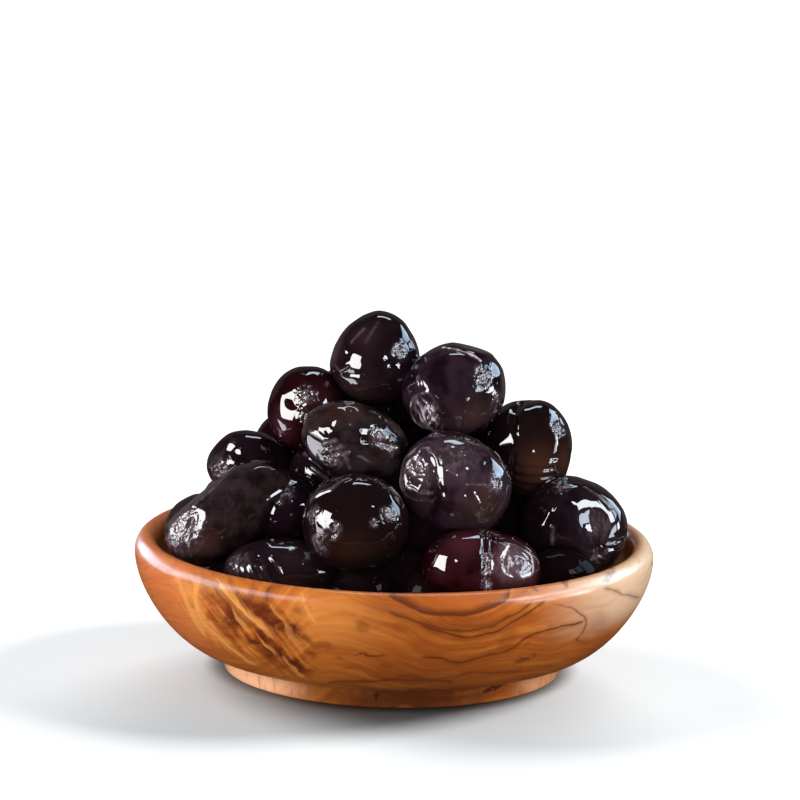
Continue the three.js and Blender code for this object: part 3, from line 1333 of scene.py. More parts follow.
def hero_olives() -> list[Olive]:
    """The olives of the front, crown and sides, with the marks that show on each.

    Returns:
        The olives.
    """
    fine = 58
    crown = Olive(
        (-5.0, 4.0, 72.0), 22.0, 20.6, 10, 80, point=0.2, tint=0.35, detail=fine,
        marks=(
            Facet((-0.4, 0.5), 0.3, 1.0), Polish((-0.45, 0.02), 0.22),
            Crease(((0.01, 0.77), (-0.26, 0.37)), -0.12, 0.6, 0.18),
            Crease(((-0.32, 0.67), (-0.61, 0.35)), -0.12, 0.6, 0.18),
            Crease(((-0.67, -0.34), (-0.33, -0.38), (0.03, -0.5)), 0.2, 0.8),
            Ring((-0.36, -0.55), 0.15, 0.2, 0.4, 100.0, 2.4, 0.1),
            Beads(((-0.36, -0.55), (-0.71, 0.14)), 0.25),
            Press((-0.1, -0.58), -0.35, 0.13), Press((-0.3, -0.62), -0.3, 0.35),
            Crease(((-0.87, -0.2), (-0.74, -0.31), (-0.59, -0.22)), -0.35, 0.35),
            Ring((0.52, 0.16), 0.2, 0.35, 0.5), Pucker((0.54, 0.14), 0.3, 0.25, 0.3, 1.8, 1.0, 0.25),
            Beads(((0.8, 0.35), (0.85, 0.2), (0.92, 0.0)), 0.35, 0.1),
            Beads(((0.22, -0.25), (0.5, -0.27), (0.3, -0.55), (0.32, -0.66), (0.63, -0.49), (0.12, -0.05))),
            # The blush at the far left edge is painted rim light.
            Blush((-0.35, -0.7), 0.6, 0.45), Blush((-0.95, 0.1), 1.0, 0.3), Blush((-0.35, 0.5), 0.5, 0.35),
        ))
    plum = Olive(
        (13.0, -4.0, 66.5), 25.0, 20.6, 32, 24, square=2.3, kind=Kind.PLUM, tint=0.7, detail=fine,
        flats=(Flat((0.55, -0.2, 0.85), 0.06, 0.25), Flat((-0.75, -0.6, -0.3), 0.08, 0.12)),
        marks=(
            Facet((0.25, 0.96), 1.0, 0.5), Facet((-0.1, 0.28), 1.2, 0.5), Facet((0.98, 0.1), 0.7, 0.7),
            Facet((-0.78, 0.5), 0.6), Facet((-0.6, -0.25), 0.9, 0.5),
            Crease(((-0.28, 0.93), (0.15, 0.82), (0.5, 0.62)), -0.3, 0.4, 0.9),
            Press((-0.18, 0.55), 0.25, 0.14), Press((-0.6, -0.5), 0.6, 0.36),
            Crease(((-0.6, 0.25), (-0.05, 0.2), (0.4, 0.4)), 0.14, 1.2),
            Pucker((0.6, 0.3), 0.36, 0.3, 0.4, 2.1, 4.0), Ring((0.8, 0.42), 0.17, 0.3, 0.5),
            Pucker((0.88, -0.22), 0.24, 0.3, 0.2, 1.6, 4.5), Press((-0.6, -0.1), -0.35, 0.16),
            Crease(((-0.74, 0.22), (-0.7, 0.05)), -0.35, 0.5),
            Ring((-0.6, -0.5), 0.42, 0.4, 0.35, pale=0.7),
            Pucker((-0.6, -0.5), 0.46, 0.7, 0.1, 1.4, 3.0, 0.85, 0.5, 2.6),
            Beads(((0.24, -0.26), (-0.1, -0.22), (0.26, -0.4), (-0.15, -0.45))),
            Blush((0.4, -0.6), 0.8, 0.45),
        ))
    left = Olive(
        (-21.0, 3.0, 60.0), 20.0, 18.0, 60, 60, kind=Kind.WINE, tint=0.2, detail=fine,
        marks=(
            Polish((-0.45, 0.1), 0.5), Press((-0.37, 0.19), 1.05, 0.45), BloomAndSheen((-0.62, -0.1), 0.12, 0.25),
            Pucker((0.0, 0.35), 0.42, 0.35, 0.1, 1.6, 5.0, 0.25),
            Pucker((-0.02, -0.2), 0.26, 0.3, 0.2, 1.4, 5.5, 0.2),
            Beads(((-0.58, -0.7), (-0.4, -0.82), (0.25, -0.55), (-0.1, 0.8))),
            Blush((0.6, 0.1), 0.4, 0.5), Blush((-0.6, -0.5), 0.5, 0.35),
        ))
    middle = Olive(
        (-9.5, -15.0, 55.5), 25.5, 18.5, 20, -22, square=2.2, kind=Kind.BROWN, tint=1.0, detail=fine,
        flats=(Flat((-0.6, -0.4, -0.7), 0.1, 0.2),),
        marks=(
            Facet((-0.6, -0.35), 0.9, 0.4),
            Crease(((-0.8, 0.2), (-0.5, -0.02), (-0.2, -0.3), (-0.1, -0.6)), -0.35, 0.5),
            *(Crease(((-0.62 + 0.13 * n, -0.02 - 0.13 * n), (-0.4 + 0.13 * n, 0.06 - 0.13 * n)),
                     -0.4, 0.45, 0.45) for n in range(3)),
            Pucker((-0.5, -0.35), 0.4, 0.22, 0.1, 1.7, 6.0),
            Press((-0.31, 0.44), -0.45, 0.18), Crease(((-0.1, 0.75), (-0.02, 0.35)), 0.3, 0.8),
            Crease(((0.25, 0.09), (0.55, 0.08), (0.88, -0.05)), 0.4, 0.7),
            Pucker((0.58, 0.14), 0.34, 0.3, 0.3, 2.0, 7.0), Pucker((0.85, -0.08), 0.26, 0.3, 0.3, 1.8, 7.5),
            Beads(((-0.43, 0.23), (0.08, 0.32), (-0.34, 0.45), (-0.15, 0.05))),
            Press((0.35, 0.55), -0.2, 0.2), Blush((-0.25, 0.75), 0.5, 0.35), Blush((0.74, -0.02), 0.6, 0.2),
        ))
    right = Olive(
        (30.0, 2.0, 51.5), 23.5, 20.0, 60, 75, square=2.3, kind=Kind.BROWN, tint=0.05, detail=fine,
        flats=(Flat((-0.15, -0.1, 1.0), 0.08, 0.06),),
        marks=(
            Facet((0.15, 0.12), 1.5, 0.5), Polish((-0.55, 0.2), 0.35), Press((0.25, 0.92), -0.5, 0.3),
            Crease(((-0.16, 0.97), (-0.3, 0.6), (-0.3, 0.3)), 0.55, 0.9),
            Crease(((-0.28, 0.3), (-0.3, -0.1), (-0.29, -0.6)), 0.35, 0.6),
            Crease(((-0.13, -0.2), (0.25, -0.22), (0.64, -0.17)), 0.3, 0.7),
            Crease(((-0.18, -0.38), (0.2, -0.42), (0.56, -0.39)), 0.35, 0.6),
            Crease(((-0.23, -0.55), (0.2, -0.57), (0.6, -0.53)), 0.35, 0.6),
            Crease(((-0.22, -0.68), (0.48, -0.68)), 0.35, 0.5),
            Crease(((-0.18, -0.81), (0.41, -0.83)), 0.35, 0.6),
            Pucker((0.66, 0.5), 0.32, 0.35, 0.3, 2.0, 8.0), Press((0.12, 0.36), -0.25, 0.25),
            Tile((-0.48, 0.17), (-0.48, 0.07), 0.3), Beads(((0.1, -0.05),)),
            Blush((0.26, -0.35), 0.75, 0.5), Blush((0.85, -0.22), 0.7, 0.35),
        ))
    sunken = Olive(
        (13.5, -20.0, 48.0), 26.0, 22.0, -20, -25, square=2.2, kind=Kind.PLUM, tint=1.5, detail=fine,
        flats=(Flat((-0.78, -0.6, 0.1), 0.12, 0.08),),
        marks=(
            Facet((0.12, 0.15), 1.4, 0.4), Polish((-0.6, 0.15), 0.6), Press((-0.72, 0.17), 1.0, 0.42),
            Ring((-0.72, 0.17), 0.46, 0.5, 0.36, pale=0.85),
            Ring((-0.72, 0.17), 0.6, 0.45, 0.34, 10.0, 2.6, 0.8),
            Pucker((-0.8, 0.28), 0.32, 0.35, 0.2, 1.4, 9.0, 0.7),
            # The bloom on the top is a painted sheen.
            BloomAndSheen((0.0, 0.55), 0.22, 0.6), BloomAndSheen((-0.75, 0.2), 0.3, 0.3),
            Crease(((-0.31, 0.55), (-0.27, 0.42)), -0.2, 0.3),
            Crease(((-0.16, 0.27), (0.0, 0.17)), -0.2, 0.3),
            Crease(((0.23, -0.02), (0.56, -0.01)), -0.25, 0.35),
            Pucker((0.72, 0.01), 0.26, 0.35, 0.1, 1.5, 10.0),
            Crease(((0.5, -0.62), (0.24, -0.23)), 0.25, 0.6),
            Crease(((0.53, -0.62), (0.44, -0.16)), 0.25, 0.6),
            Crease(((0.57, -0.62), (0.66, -0.18)), 0.25, 0.6),
            Crease(((0.64, -0.58), (0.85, -0.23)), 0.25, 0.6),
            Beads(((-0.08, 0.65), (0.12, 0.58), (0.14, 0.37), (0.2, 0.3), (0.05, 0.42), (-0.2, -0.3))),
            Blush((0.5, -0.42), 0.8, 0.45), Blush((-0.8, -0.1), 0.5, 0.3),
        ))
    knuckle = Olive(
        (-34.0, 5.5, 45.5), 20.5, 16.5, 170, 10, tint=0.4, detail=fine,
        flats=(Flat((-0.6, -0.3, 0.7), 0.08, 0.05),),
        marks=(
            Pucker((-0.8, -0.15), 0.55, 0.5, 0.3, 2.4, 11.0, 0.3), Press((-0.88, 0.42), 2.0, 0.32),
            Tile((-0.52, 0.5), (-0.47, 0.08), 0.2), Tile((-0.3, 0.38), (-0.44, 0.08), 0.13),
            Press((-0.38, 0.05), -0.3, 0.15), Beads(((-0.71, 0.1),), 0.45, 0.13),
            Blush((-0.8, -0.2), 0.8, 0.4), BloomAndSheen((-0.8, -0.2), 0.16, 0.35),
        ))
    long_left = Olive(
        (-37.5, -15.0, 39.0), 33.0, 18.0, 200, -28, point=0.04, square=2.3, kind=Kind.BROWN, tint=1.1,
        flats=(Flat((-0.6, -0.1, 0.8), 0.16, 0.1), Flat((0.5, -0.2, -0.85), 0.12, 0.1)), detail=fine,
        marks=(
            Facet((0.45, 0.87), 0.9, 0.7), Facet((-0.65, 0.75), 1.8, 0.8), Facet((0.32, 0.4), 0.8, 0.5),
            Pucker((-0.8, -0.25), 0.66, 0.5, 0.1, 1.6, 12.0, 0.3), Polish((-0.48, 0.02), 0.22),
            Facet((-0.46, 0.06), 1.2, 0.3),
            BloomAndSheen((-0.8, -0.15), 0.24, 0.4), BloomAndSheen((0.1, 0.2), 0.07, 0.9),
            Crease(((-0.72, -0.2), (-0.65, -0.6)), 0.4, 0.7),
            Crease(((-0.75, 0.08), (-0.58, 0.38), (-0.12, 0.89)), -0.4, 0.6),
            Beads(((0.74, 0.24),), 0.45, 0.11), Beads(((0.71, 0.66), (0.4, -0.3), (0.1, -0.5))),
            Blush((-0.4, -0.6), 0.5, 0.3), Press((0.2, 0.1), 0.25, 0.4),
        ))
    front = Olive(
        (-9.0, -32.0, 41.0), 24.5, 22.0, 0, 5, square=2.1, kind=Kind.BROWN, tint=0.0, detail=fine,
        flats=(Flat((-0.95, -0.3, -0.1), 0.06, 0.1),),
        marks=(
            Crease(((-0.82, 0.42), (-0.46, 0.66), (-0.15, 0.89)), -0.4, 0.6),
            Pucker((-0.8, 0.15), 0.26, 0.35, 0.2, 1.6, 13.0),
            Pucker((-0.43, -0.15), 0.26, 0.4, 0.1, 1.6, 14.0),
            Pucker((-0.68, -0.45), 0.32, 0.35, 0.1, 1.6, 15.0),
            Pucker((0.62, 0.18), 0.24, 0.3, 0.6, 1.6, 16.0),
            Pucker((0.38, 0.01), 0.15, 0.3, 0.1, 1.3, 17.0),
            Polish((-0.55, 0.1), 0.17), Press((-0.55, 0.1), -0.12, 0.15),
            Beads(((-0.33, -0.36), (0.75, -0.3), (0.6, -0.5), (0.3, 0.35))),
            Blush((-0.07, -0.55), 0.22, 0.45),
        ))
    low_left = Olive(
        (-25.5, -31.0, 28.5), 26.0, 16.0, 0, 0, square=2.2, tint=0.4, detail=fine,
        marks=(
            Pucker((-0.84, 0.23), 0.4, 0.3, 0.2, 1.6, 18.0, 0.15, 0.5),
            *(Crease(((-0.8 + 0.12 * n, 0.2), (-0.64 + 0.14 * n, -0.22)), -0.5, 0.6, 0.12)
              for n in range(4)),
            Crease(((-0.24, 0.47), (-0.09, 0.29), (0.04, 0.03)), -0.4, 0.5, 0.12),
            Beads(((-0.37, 0.79), (0.3, 0.6), (0.5, 0.3), (-0.5, 0.5))), Blush((0.3, 0.5), 0.3, 0.5),
        ))
    low_right = Olive(
        (19.5, -35.0, 31.5), 27.0, 18.0, 0, -3, square=2.3, kind=Kind.WINE, tint=0.7, detail=fine,
        flats=(Flat((0.15, -0.85, 0.5), 0.06, 0.03),),
        marks=(
            Crease(((0.05, 0.95), (0.07, 0.4), (0.07, -0.5)), 0.5, 0.6),
            Pucker((0.15, 0.35), 0.2, 0.4, 0.0, 1.2, 19.0, 0.8),
            Pucker((0.14, 0.0), 0.2, 0.4, 0.0, 1.2, 19.5, 0.8),
            Pucker((0.14, -0.35), 0.2, 0.4, 0.0, 1.2, 19.7, 0.8),
            Crease(((0.2, 0.9), (0.22, 0.16), (0.26, -0.4)), 0.5, 0.6),
            Pucker((0.67, 0.19), 0.42, 0.5, 0.55, 2.3, 20.0, 0.75, 0.3),
            Ring((0.68, 0.2), 0.38, 0.5, 0.42, 190.0, 3.6, 0.85),
            Ring((0.72, 0.15), 0.2, 0.4, 0.35, 290.0, 3.0, 0.5), Press((0.55, 0.1), 0.4, 0.12),
            BloomAndSheen((0.66, 0.2), 0.56, 0.38),
            Crease(((0.37, 0.69), (0.65, 0.6), (0.85, 0.38)), 0.35, 0.5),
            Beads(((-0.93, -0.21), (-0.76, -0.3), (-0.5, 0.2))), Press((-0.55, 0.15), 0.3, 0.2),
            Blush((-0.37, 0.6), 0.5, 0.4), Blush((0.62, 0.15), 0.8, 0.45),
        ))
    far_right = Olive(
        (41.0, -8.0, 36.0), 25.0, 22.0, 0, -20, square=2.2, tint=0.5, detail=fine,
        marks=(
            # The bloom over the hollow is a painted reflection: the grey oval of the windows.
            Polish((0.45, 0.08), 0.6), Press((0.47, 0.12), 2.1, 0.5), BloomAndSheen((0.5, 0.1), 0.24, 0.42),
            Pucker((0.5, 0.1), 0.42, 0.14, 0.3, 3.4, 22.0, 0.08, 0.08),
            Crease(((0.22, 0.79), (0.5, 0.62), (0.72, 0.39)), -0.3, 0.45),
            Crease(((0.69, -0.31), (0.92, -0.22)), 0.4, 0.5),
            Crease(((0.69, -0.42), (0.93, -0.32)), 0.4, 0.5),
            Pucker((-0.26, 0.75), 0.24, 0.35, 0.1, 1.5, 21.0),
            Crease(((-0.43, -0.02), (-0.44, -0.35)), -0.35, 0.5),
            Pucker((0.43, -0.65), 0.34, 0.25, 0.1, 1.6, 23.0),
            Beads(((-0.35, 0.36), (-0.1, 0.5), (0.0, -0.4))),
        ))
    return [crown, plum, left, middle, right, sunken, knuckle, long_left, front, low_left, low_right,
            far_right]


def plain_olives() -> list[Olive]:
    """The olives that show less, between and under the front ones.

    Returns:
        The olives.
    """
    return [
        Olive((-45.0, 7.0, 29.5), 21.0, 17.0, 90, 0, kind=Kind.PLUM, tint=0.1, detail=32,
              marks=(Pucker((-0.4, 0.3), 0.5, 0.3, 0.2, 2.0, 30.0),)),
        Olive((-24.0, -12.0, 40.0), 20.0, 15.0, 70, 20, kind=Kind.PLUM, tint=0.1, detail=32,
              marks=(Pucker((-0.2, 0.4), 0.5, 0.3, 0.2, 1.8, 31.0),)),
        Olive((2.5, -27.0, 27.5), 20.0, 15.0, 0, 0, kind=Kind.DEEP, detail=32),
        Olive((32.0, 2.0, 34.0), 20.0, 17.0, 60, 0, kind=Kind.DEEP, detail=20),
        Olive((-16.5, 1.0, 44.5), 20.0, 17.0, 90, 0, kind=Kind.PLUM, tint=0.1, detail=40,
              marks=(Crease(((-0.49, 0.55), (-0.02, 0.31), (0.27, 0.02)), -0.4, 0.6),
                     Crease(((-0.3, 0.2), (0.12, -0.09)), -0.4, 0.5))),
        Olive((37.0, -23.0, 26.5), 20.0, 15.0, 20, 0, kind=Kind.DEEP, tint=0.2, detail=32),
        Olive((-6.0, -40.0, 18.5), 20.0, 15.0, 5, 0, kind=Kind.DEEP, detail=20),
        Olive((-36.0, -20.0, 18.5), 20.0, 15.0, 125, 5, kind=Kind.DEEP, detail=20),
        Olive((-36.0, -23.0, 23.0), 18.0, 13.5, 125, 5, kind=Kind.DEEP, detail=20),
    ]


@dataclass(frozen=True)
class OliveRing:
    """Olives laid round the heap at one height, each a little off the rule."""

    height: float
    radius: float
    count: int
    first: float
    step: float

    def at(self, azimuth: float, out: float = 0.0, lift: float = 0.0) -> Point:
        """A place on the ring, turned from the right, and moved outwards and up."""
        turn, radius = math.radians(azimuth), self.radius + out
        return radius * math.cos(turn), radius * math.sin(turn), self.height + lift


@dataclass
class Heap:
    """The heap: whole olives over a dark core in painted shade, one piece for each kind of skin."""

    back: tuple[OliveRing, ...] = (
        OliveRing(32.0, 43.6, 5, 19.0, 30.0),
        OliveRing(44.5, 32.0, 4, 37.0, 33.0),
        OliveRing(57.0, 19.0, 2, 62.0, 56.0),
    )
    inner: tuple[OliveRing, ...] = (
        OliveRing(47.0, 9.0, 3, 20.0, 120.0),
        OliveRing(36.0, 21.0, 6, 0.0, 60.0),
        OliveRing(24.0, 32.0, 9, 10.0, 40.0),
    )
    back_kinds: tuple[Kind, ...] = (Kind.BLACK, Kind.BROWN, Kind.PLUM, Kind.BLACK, Kind.WINE)
    back_size: Pair = (23.5, 19.5)
    inner_size: Pair = (20.0, 16.5)
    core_side: tuple[Pair, ...] = ((27.0, 9.2), (38.0, 9.5), (40.0, 24.0), (31.0, 30.0))
    core_dome: tuple[Pair, ...] = ((31.0, 30.0), (22.0, 38.0), (14.0, 56.0), (0.0, 57.0))
    core_turns: int = 72
    lump_size: float = 9.0
    lump_share: float = 0.05
    smooth_below: float = 14.0

    def ring_olives(self) -> list[Olive]:
        """The olives round the back, as the frame has them, with puckered ends.

        Returns:
            The olives.
        """
        olives = []
        long, wide = self.back_size
        for ring in self.back:
            for place in range(ring.count):
                index = len(olives) + 1
                azimuth = ring.first + place * ring.step + 4.0 * stray(index, 1)
                olives.append(Olive(
                    ring.at(azimuth, 1.2 * stray(index, 2), 1.2 * stray(index, 5)),
                    long + 1.8 * stray(index, 3), wide + 1.2 * stray(index, 4),
                    azimuth + 90.0 + 35.0 * stray(index, 6), 25.0 * stray(index, 7), square=2.1,
                    kind=self.back_kinds[index % len(self.back_kinds)], tint=0.6 + 0.3 * stray(index, 8),
                    detail=22, marks=self.back_marks(index), side=azimuth + 90.0))
        return olives

    def back_marks(self, index: int) -> tuple[Mark, ...]:
        """A puckered end, a second dimple, a hollow and a level place for an olive of the back.

        Args:
            index: The olive's number.

        Returns:
            Its marks.
        """
        end = math.copysign(0.72, stray(index, 9))
        return (
            Facet((0.45 * stray(index, 10), 0.5 * stray(index, 11)), 0.9, 0.5),
            Press((-0.5 * end, 0.5 * stray(index, 12)), 0.7, 0.35),
            Crease(((0.3 * end, 0.6), (0.1 * end, 0.1), (0.4 * end, -0.5)), 0.4 * stray(index, 13), 0.8),
            Pucker((end, 0.3 * stray(index, 14)), 0.6, 0.45, 0.3, 2.3, 40.0 + index, 0.3),
            Pucker((-end, 0.4 * stray(index, 15)), 0.35, 0.35, 0.3, 2.0, 60.0 + index, 0.25),
            Blush((0.4 * stray(index, 16), -0.5), 0.5, 0.5),
        )

    def hidden_olives(self) -> list[Olive]:
        """Smaller olives inside, which close the gaps between the outer ones.

        Returns:
            The olives.
        """
        olives = []
        for ring in self.inner:
            for place in range(ring.count):
                index = len(olives) + 40
                at = ring.at(ring.first + place * ring.step + 8.0 * stray(index, 1))
                olives.append(Olive(at, *self.inner_size, 90.0 * stray(index, 2), 30.0 * stray(index, 3),
                                    kind=Kind.DEEP, detail=12))
        return olives

    def ball(self, detail: int) -> bpy.types.Mesh:
        """A unit sphere of even quads, from a cut cube.

        Args:
            detail: How many quads an edge of the cube has.

        Returns:
            The mesh.
        """
        shape = bmesh.new()
        bmesh.ops.create_cube(shape, size=2.0)
        bmesh.ops.subdivide_edges(shape, edges=shape.edges, cuts=detail - 1, use_grid_fill=True)
        for vert in shape.verts:
            vert.co = Vector(math.tan(c * math.pi / 4.0) for c in vert.co).normalized()
        return as_mesh(shape, f"ball_{detail}")

    def join(self, kind: Kind, olives: list[Olive], balls: dict[int, bpy.types.Mesh]) -> bpy.types.Mesh:
        """Makes all the olives of a kind as one mesh.

        Args:
            kind: Their skin.
            olives: The olives.
            balls: A unit sphere for each level of detail.

        Returns:
            The mesh, in metres.
        """
        shape = bmesh.new()
        places = []
        shades = {"tint": [], "blush": [], "dust_and_highlight": [], "pucker": []}
        for number, olive in enumerate(olives):
            ball = balls[olive.detail]
            shape.from_mesh(ball)
            sphere = np.empty(len(ball.vertices) * 3)
            ball.vertices.foreach_get("co", sphere)
            seed = number * 4.7 + len(kind.value) * 11.3
            points, skin = olive.skinned(sphere.reshape(-1, 3), seed)
            places.append(points * MM)
            shades["tint"].append(np.full(len(points), olive.tint))
            for name in ("blush", "dust_and_highlight", "pucker"):
                shades[name].append(getattr(skin, name))
        mesh = as_mesh(shape, f"olives_{kind.value}")
        mesh.vertices.foreach_set("co", np.concatenate(places).ravel())
        for name, values in shades.items():
            layer = mesh.attributes.new(name, "FLOAT", "POINT")
            layer.data.foreach_set("value", np.concatenate(values))
        mesh.update()
        return mesh

    def core(self) -> bpy.types.Mesh:
        """A lumpy dark mass under the olives: painted shade for the heap's inside.

        Returns:
            The mesh.
        """
        middle = (0.0, self.core_side[0][1])
        section = [middle, *bezier(self.core_side, 10), *bezier(self.core_dome, 14)[1:]]
        shape = turned(section, self.core_turns)
        for vert in shape.verts:
            if vert.co.z > self.smooth_below * MM:
                vert.co *= 1.0 + self.lump_share * noise.noise(vert.co / (self.lump_size * MM))
        return as_mesh(shape, "heap_core")

    def build(self) -> list[bpy.types.Object]:
        """Builds and dresses the olives and their core.

        Returns:
            The pieces.
        """
        olives = hero_olives() + plain_olives() + self.ring_olives() + self.hidden_olives()
        balls = {detail: self.ball(detail) for detail in {olive.detail for olive in olives}}
        pieces = []
        for kind in Kind:
            chosen = [olive for olive in olives if olive.kind is kind]
            mesh = self.join(kind, chosen, balls)
            material = SKINS[kind].make()
            pieces.append(add_piece(f"olives_{kind.value}", mesh, material, "olive_skin", "olives"))
        # The core wears the darkened skin of the gaps: painted shade.
        deep = pieces[-1].data.materials[0]
        pieces.append(add_piece("heap_core", self.core(), deep, "olive_skin", "olives"))
        for ball in balls.values():
            bpy.data.meshes.remove(ball)
        return pieces


class Use(Enum):
    """What a light is there for."""

    GLINT = "glint on all"
    HEAP = "glint on the olives"
    LIP = "glint on the dish"
    FILL = "fill"

    def lights(self, piece: bpy.types.Object) -> bool:
        """Whether a light of this use falls on a piece.

        Args:
            piece: The piece.

        Returns:
            True where it does.
        """
        if self is Use.HEAP:
            return piece.name != "turned_dish"
        return self is not Use.LIP or piece.name == "turned_dish"


@dataclass(frozen=True)
class Panel:
    """A soft studio panel: where it stands seen from the dish, its size, light and colour."""

    name: str
    azimuth: float
    elevation: float
    distance: float
    width: float
    height: float
    radiance: float
    colour: Colour = (1.0, 1.0, 1.0)
    use: Use = Use.GLINT


@dataclass(frozen=True)
class Sky:
    """A wide far light: where it comes from, its strength and how soft it is."""

    name: str
    azimuth: float
    elevation: float
    strength: float
    softness: float


def towards(azimuth: float, elevation: float) -> Vector:
    """The direction from the dish to a light, its azimuth turned right from the front."""
    turn, lift = math.radians(azimuth), math.radians(elevation)
    return Vector((math.sin(turn) * math.cos(lift), -math.cos(turn) * math.cos(lift), math.sin(lift)))


@dataclass
class Studio:
    """The pale floor, the soft panels and the camera."""

    target: Point = (0.57, 0.0, 63.0)
    distance: float = 1200.0
    pivot_height: float = 20.0
    elevation: float = 13.43
    roll: float = 1.29
    focal: float = 232.8
    panels: tuple[Panel, ...] = (
        Panel("left_panel", -56.0, 19.0, 0.62, 0.34, 0.3, 27.0, (1.0, 0.99, 0.98), Use.HEAP),
        Panel("right_pane_1", 62.0, 30.0, 0.7, 0.2, 0.2, 26.0, (0.9, 0.96, 1.0)),
        Panel("right_pane_2", 64.0, 10.0, 0.7, 0.2, 0.14, 18.0, (0.72, 0.86, 1.0)),
        Panel("right_pane_3", 84.0, 30.0, 0.7, 0.17, 0.2, 14.0, (0.6, 0.8, 1.0)),
        Panel("right_pane_4", 86.0, 9.0, 0.7, 0.17, 0.13, 24.0, (0.95, 0.97, 1.0)),
        Panel("right_pane_5", 116.0, 24.0, 0.7, 0.36, 0.34, 10.0, (0.62, 0.8, 1.0)),
        Panel("top_strip", 172.0, 60.0, 0.8, 0.34, 0.13, 10.0, (0.75, 0.86, 1.0)),
        Panel("back_wall", 180.0, 14.0, 1.4, 3.2, 1.4, 0.1, (1.0, 0.82, 0.78)),
        Panel("table_glow", -78.0, -22.0, 0.8, 0.44, 0.3, 12.0, (0.9, 0.9, 1.0), Use.HEAP),
        Panel("lip_left", -130.0, 9.0, 0.9, 0.8, 0.35, 11.0, (0.4, 0.76, 1.0), Use.LIP),
        Panel("lip_middle", -94.0, 18.0, 0.9, 0.5, 0.4, 13.0, (0.42, 0.8, 1.0), Use.LIP),
        Panel("lip_edge", -58.0, 24.0, 0.9, 0.55, 0.35, 11.0, (0.6, 0.85, 1.0), Use.LIP),
        Panel("lip_right", 110.0, 34.0, 0.9, 1.1, 0.85, 6.0, (0.4, 0.8, 1.0), Use.LIP),
        Panel("fill_front", -6.0, 8.0, 1.0, 0.9, 0.5, 4.8, (1.0, 1.0, 1.0), Use.FILL),
        Panel("fill_left", -72.0, 16.0, 0.9, 0.5, 0.5, 8.6, (1.0, 0.98, 0.97), Use.FILL),
        Panel("fill_right", 74.0, 18.0, 0.9, 0.5, 0.5, 8.0, (0.97, 0.98, 1.0), Use.FILL),
        Panel("fill_top", 170.0, 60.0, 0.9, 0.5, 0.4, 4.0, (1.0, 1.0, 1.0), Use.FILL),
    )
    skies: tuple[Sky, ...] = (
        Sky("sky_right", 109.0, 30.0, 5.7, 23.0),
        Sky("sky_left", -122.0, 29.6, 5.0, 38.0),
        Sky("sky_behind", 170.0, 8.0, 10.5, 43.0),
    )
    warm: Colour = (1.0, 0.73, 0.61)
    sensor: float = 36.0
    aim_height: float = 0.03
    fill: float = 0.2
    mirrored: float = 0.02
    floor_radius: float = 6.0
    floor_tones: tuple[Colour, Colour] = ((0.54, 0.75, 0.9), (0.56, 0.77, 0.92))
    # A dark ring in the floor's colour round the foot: painted shadow.
    painted_foot_shadow: Colour = (0.02, 0.03, 0.042)
    painted_shadow_ring: Pair = (38.5, 44.5)
    painted_shadow_share: float = 0.75

    def camera(self) -> None:
        """Places the camera at the view's height, distance and slight roll."""
        data = bpy.data.cameras.new("view")
        data.lens = self.focal
        data.sensor_width = self.sensor
        camera = put("view", data)
        lift = math.radians(self.elevation)
        place = Vector((0.0, -math.cos(lift), math.sin(lift))) * self.distance
        place.z += self.pivot_height
        ahead = (Vector(self.target) - place).normalized()
        right = ahead.cross(Vector((0, 0, 1))).normalized()
        up = right.cross(ahead)
        cosine, sine = math.cos(math.radians(self.roll)), math.sin(math.radians(self.roll))
        level = Matrix((right * cosine + up * sine, up * cosine - right * sine, -ahead)).transposed()
        camera.matrix_world = Matrix.Translation(place * MM) @ level.to_4x4()
        bpy.context.scene.camera = camera

    def light(self, panel: Panel) -> bpy.types.Object:
        """One panel, facing the heap.

        Args:
            panel: The panel.

        Returns:
            Its light.
        """
        data = bpy.data.lights.new(panel.name, "AREA")
        data.shape = "RECTANGLE"
        data.size, data.size_y = panel.width, panel.height
        data.energy = panel.radiance * math.pi * panel.width * panel.height
        data.color = panel.colour
        light = put(panel.name, data)
        away = towards(panel.azimuth, panel.elevation)
        light.location = away * panel.distance + Vector((0.0, 0.0, self.aim_height))
        light.rotation_euler = (-away).to_track_quat("-Z", "Y").to_euler()
        light.visible_camera = False
        light.visible_glossy = panel.use is not Use.FILL
        light.visible_diffuse = panel.use is Use.FILL
        return light

    def sky(self, sky: Sky) -> bpy.types.Object:
        """One far light of the floor.

        Args:
            sky: The far light.

        Returns:
            Its light.
        """
        data = bpy.data.lights.new(sky.name, "SUN")
        data.energy = sky.strength
        data.color = self.warm
        data.angle = math.radians(sky.softness)
        light = put(sky.name, data)
        light.rotation_euler = (-towards(sky.azimuth, sky.elevation)).to_track_quat("-Z", "Y").to_euler()
        light.visible_glossy = False
        return light

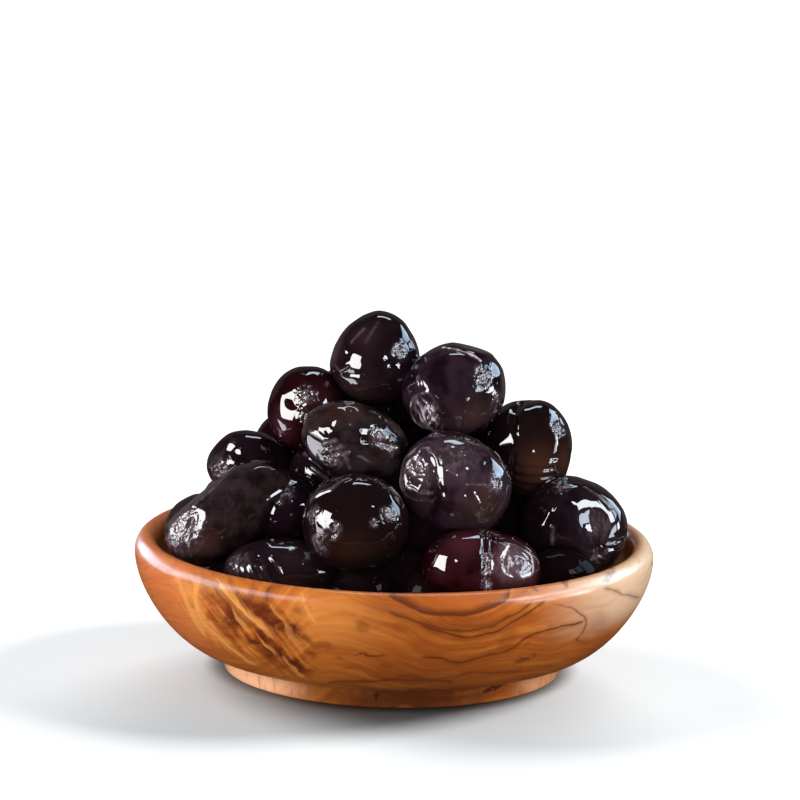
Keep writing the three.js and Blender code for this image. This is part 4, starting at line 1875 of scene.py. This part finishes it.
    def world(self) -> None:
        """A white surround to look at, dim in reflections and as fill."""
        world = bpy.data.worlds.new("studio")
        bpy.context.scene.world = world
        world.use_nodes = True
        tree = world.node_tree
        background = tree.nodes["Background"]
        path = tree.nodes.new("ShaderNodeLightPath")
        glossy = tree.nodes.new("ShaderNodeMapRange")
        glossy.inputs["To Min"].default_value = self.fill
        glossy.inputs["To Max"].default_value = self.mirrored
        tree.links.new(path.outputs["Is Glossy Ray"], glossy.inputs["Value"])
        seen = tree.nodes.new("ShaderNodeMath")
        seen.operation = "MAXIMUM"
        tree.links.new(path.outputs["Is Camera Ray"], seen.inputs[0])
        tree.links.new(glossy.outputs["Result"], seen.inputs[1])
        background.inputs["Color"].default_value = (1.0, 1.0, 1.0, 1.0)
        tree.links.new(seen.outputs[0], background.inputs["Strength"])

    def floor(self) -> bpy.types.Object:
        """A wide pale floor with a painted soft shadow ring round the foot. It isn't part of the object.

        Returns:
            The floor.
        """
        shape = bmesh.new()
        bmesh.ops.create_circle(shape, cap_ends=True, radius=self.floor_radius, segments=96)
        mesh = as_mesh(shape, "studio_floor")
        floor = put("studio_floor", mesh)
        graph = Graph("pale_floor")
        pale = graph.lay(*self.floor_tones, graph.noise(graph.coordinates, 40.0))
        away = graph.vector("LENGTH", graph.millimetres())
        # Darkens the floor round the foot: painted shadow.
        pale = graph.lay(pale, self.painted_foot_shadow, graph.rise(away, *self.painted_shadow_ring, 0.0, self.painted_shadow_share))
        mesh.materials.append(graph.finish(base_color=pale, roughness=0.9, specular_ior_level=0.1))
        floor.visible_glossy = False
        floor.visible_diffuse = False
        floor.visible_shadow = False
        return floor

    def build(self, pieces: list[bpy.types.Object]) -> None:
        """Sets up the studio: the panels light the object, and the far lights only the floor.

        Args:
            pieces: The pieces of the object.
        """
        self.camera()
        self.world()
        on_floor = bpy.data.collections.new("lit_by_skies")
        on_floor.objects.link(self.floor())
        lit = {use: bpy.data.collections.new(f"lit_by_{use.name.lower()}") for use in Use}
        for use, receivers in lit.items():
            for piece in pieces:
                if use.lights(piece):
                    receivers.objects.link(piece)
        for panel in self.panels:
            self.light(panel).light_linking.receiver_collection = lit[panel.use]
        for sky in self.skies:
            self.sky(sky).light_linking.receiver_collection = on_floor
        bpy.context.scene.view_settings.view_transform = "Standard"


def main() -> None:
    """Builds the studio, the dish and the heap round the frame."""
    logging.basicConfig(level=logging.INFO, format="%(message)s")
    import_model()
    pieces = [Dish().build(), *Heap().build()]
    Studio().build(pieces)
    for piece in pieces:
        piece.data.calc_loop_triangles()
        LOG.info("%s: %d triangles", piece.name, len(piece.data.loop_triangles))
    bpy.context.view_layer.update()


if __name__ == "__main__":
    main()
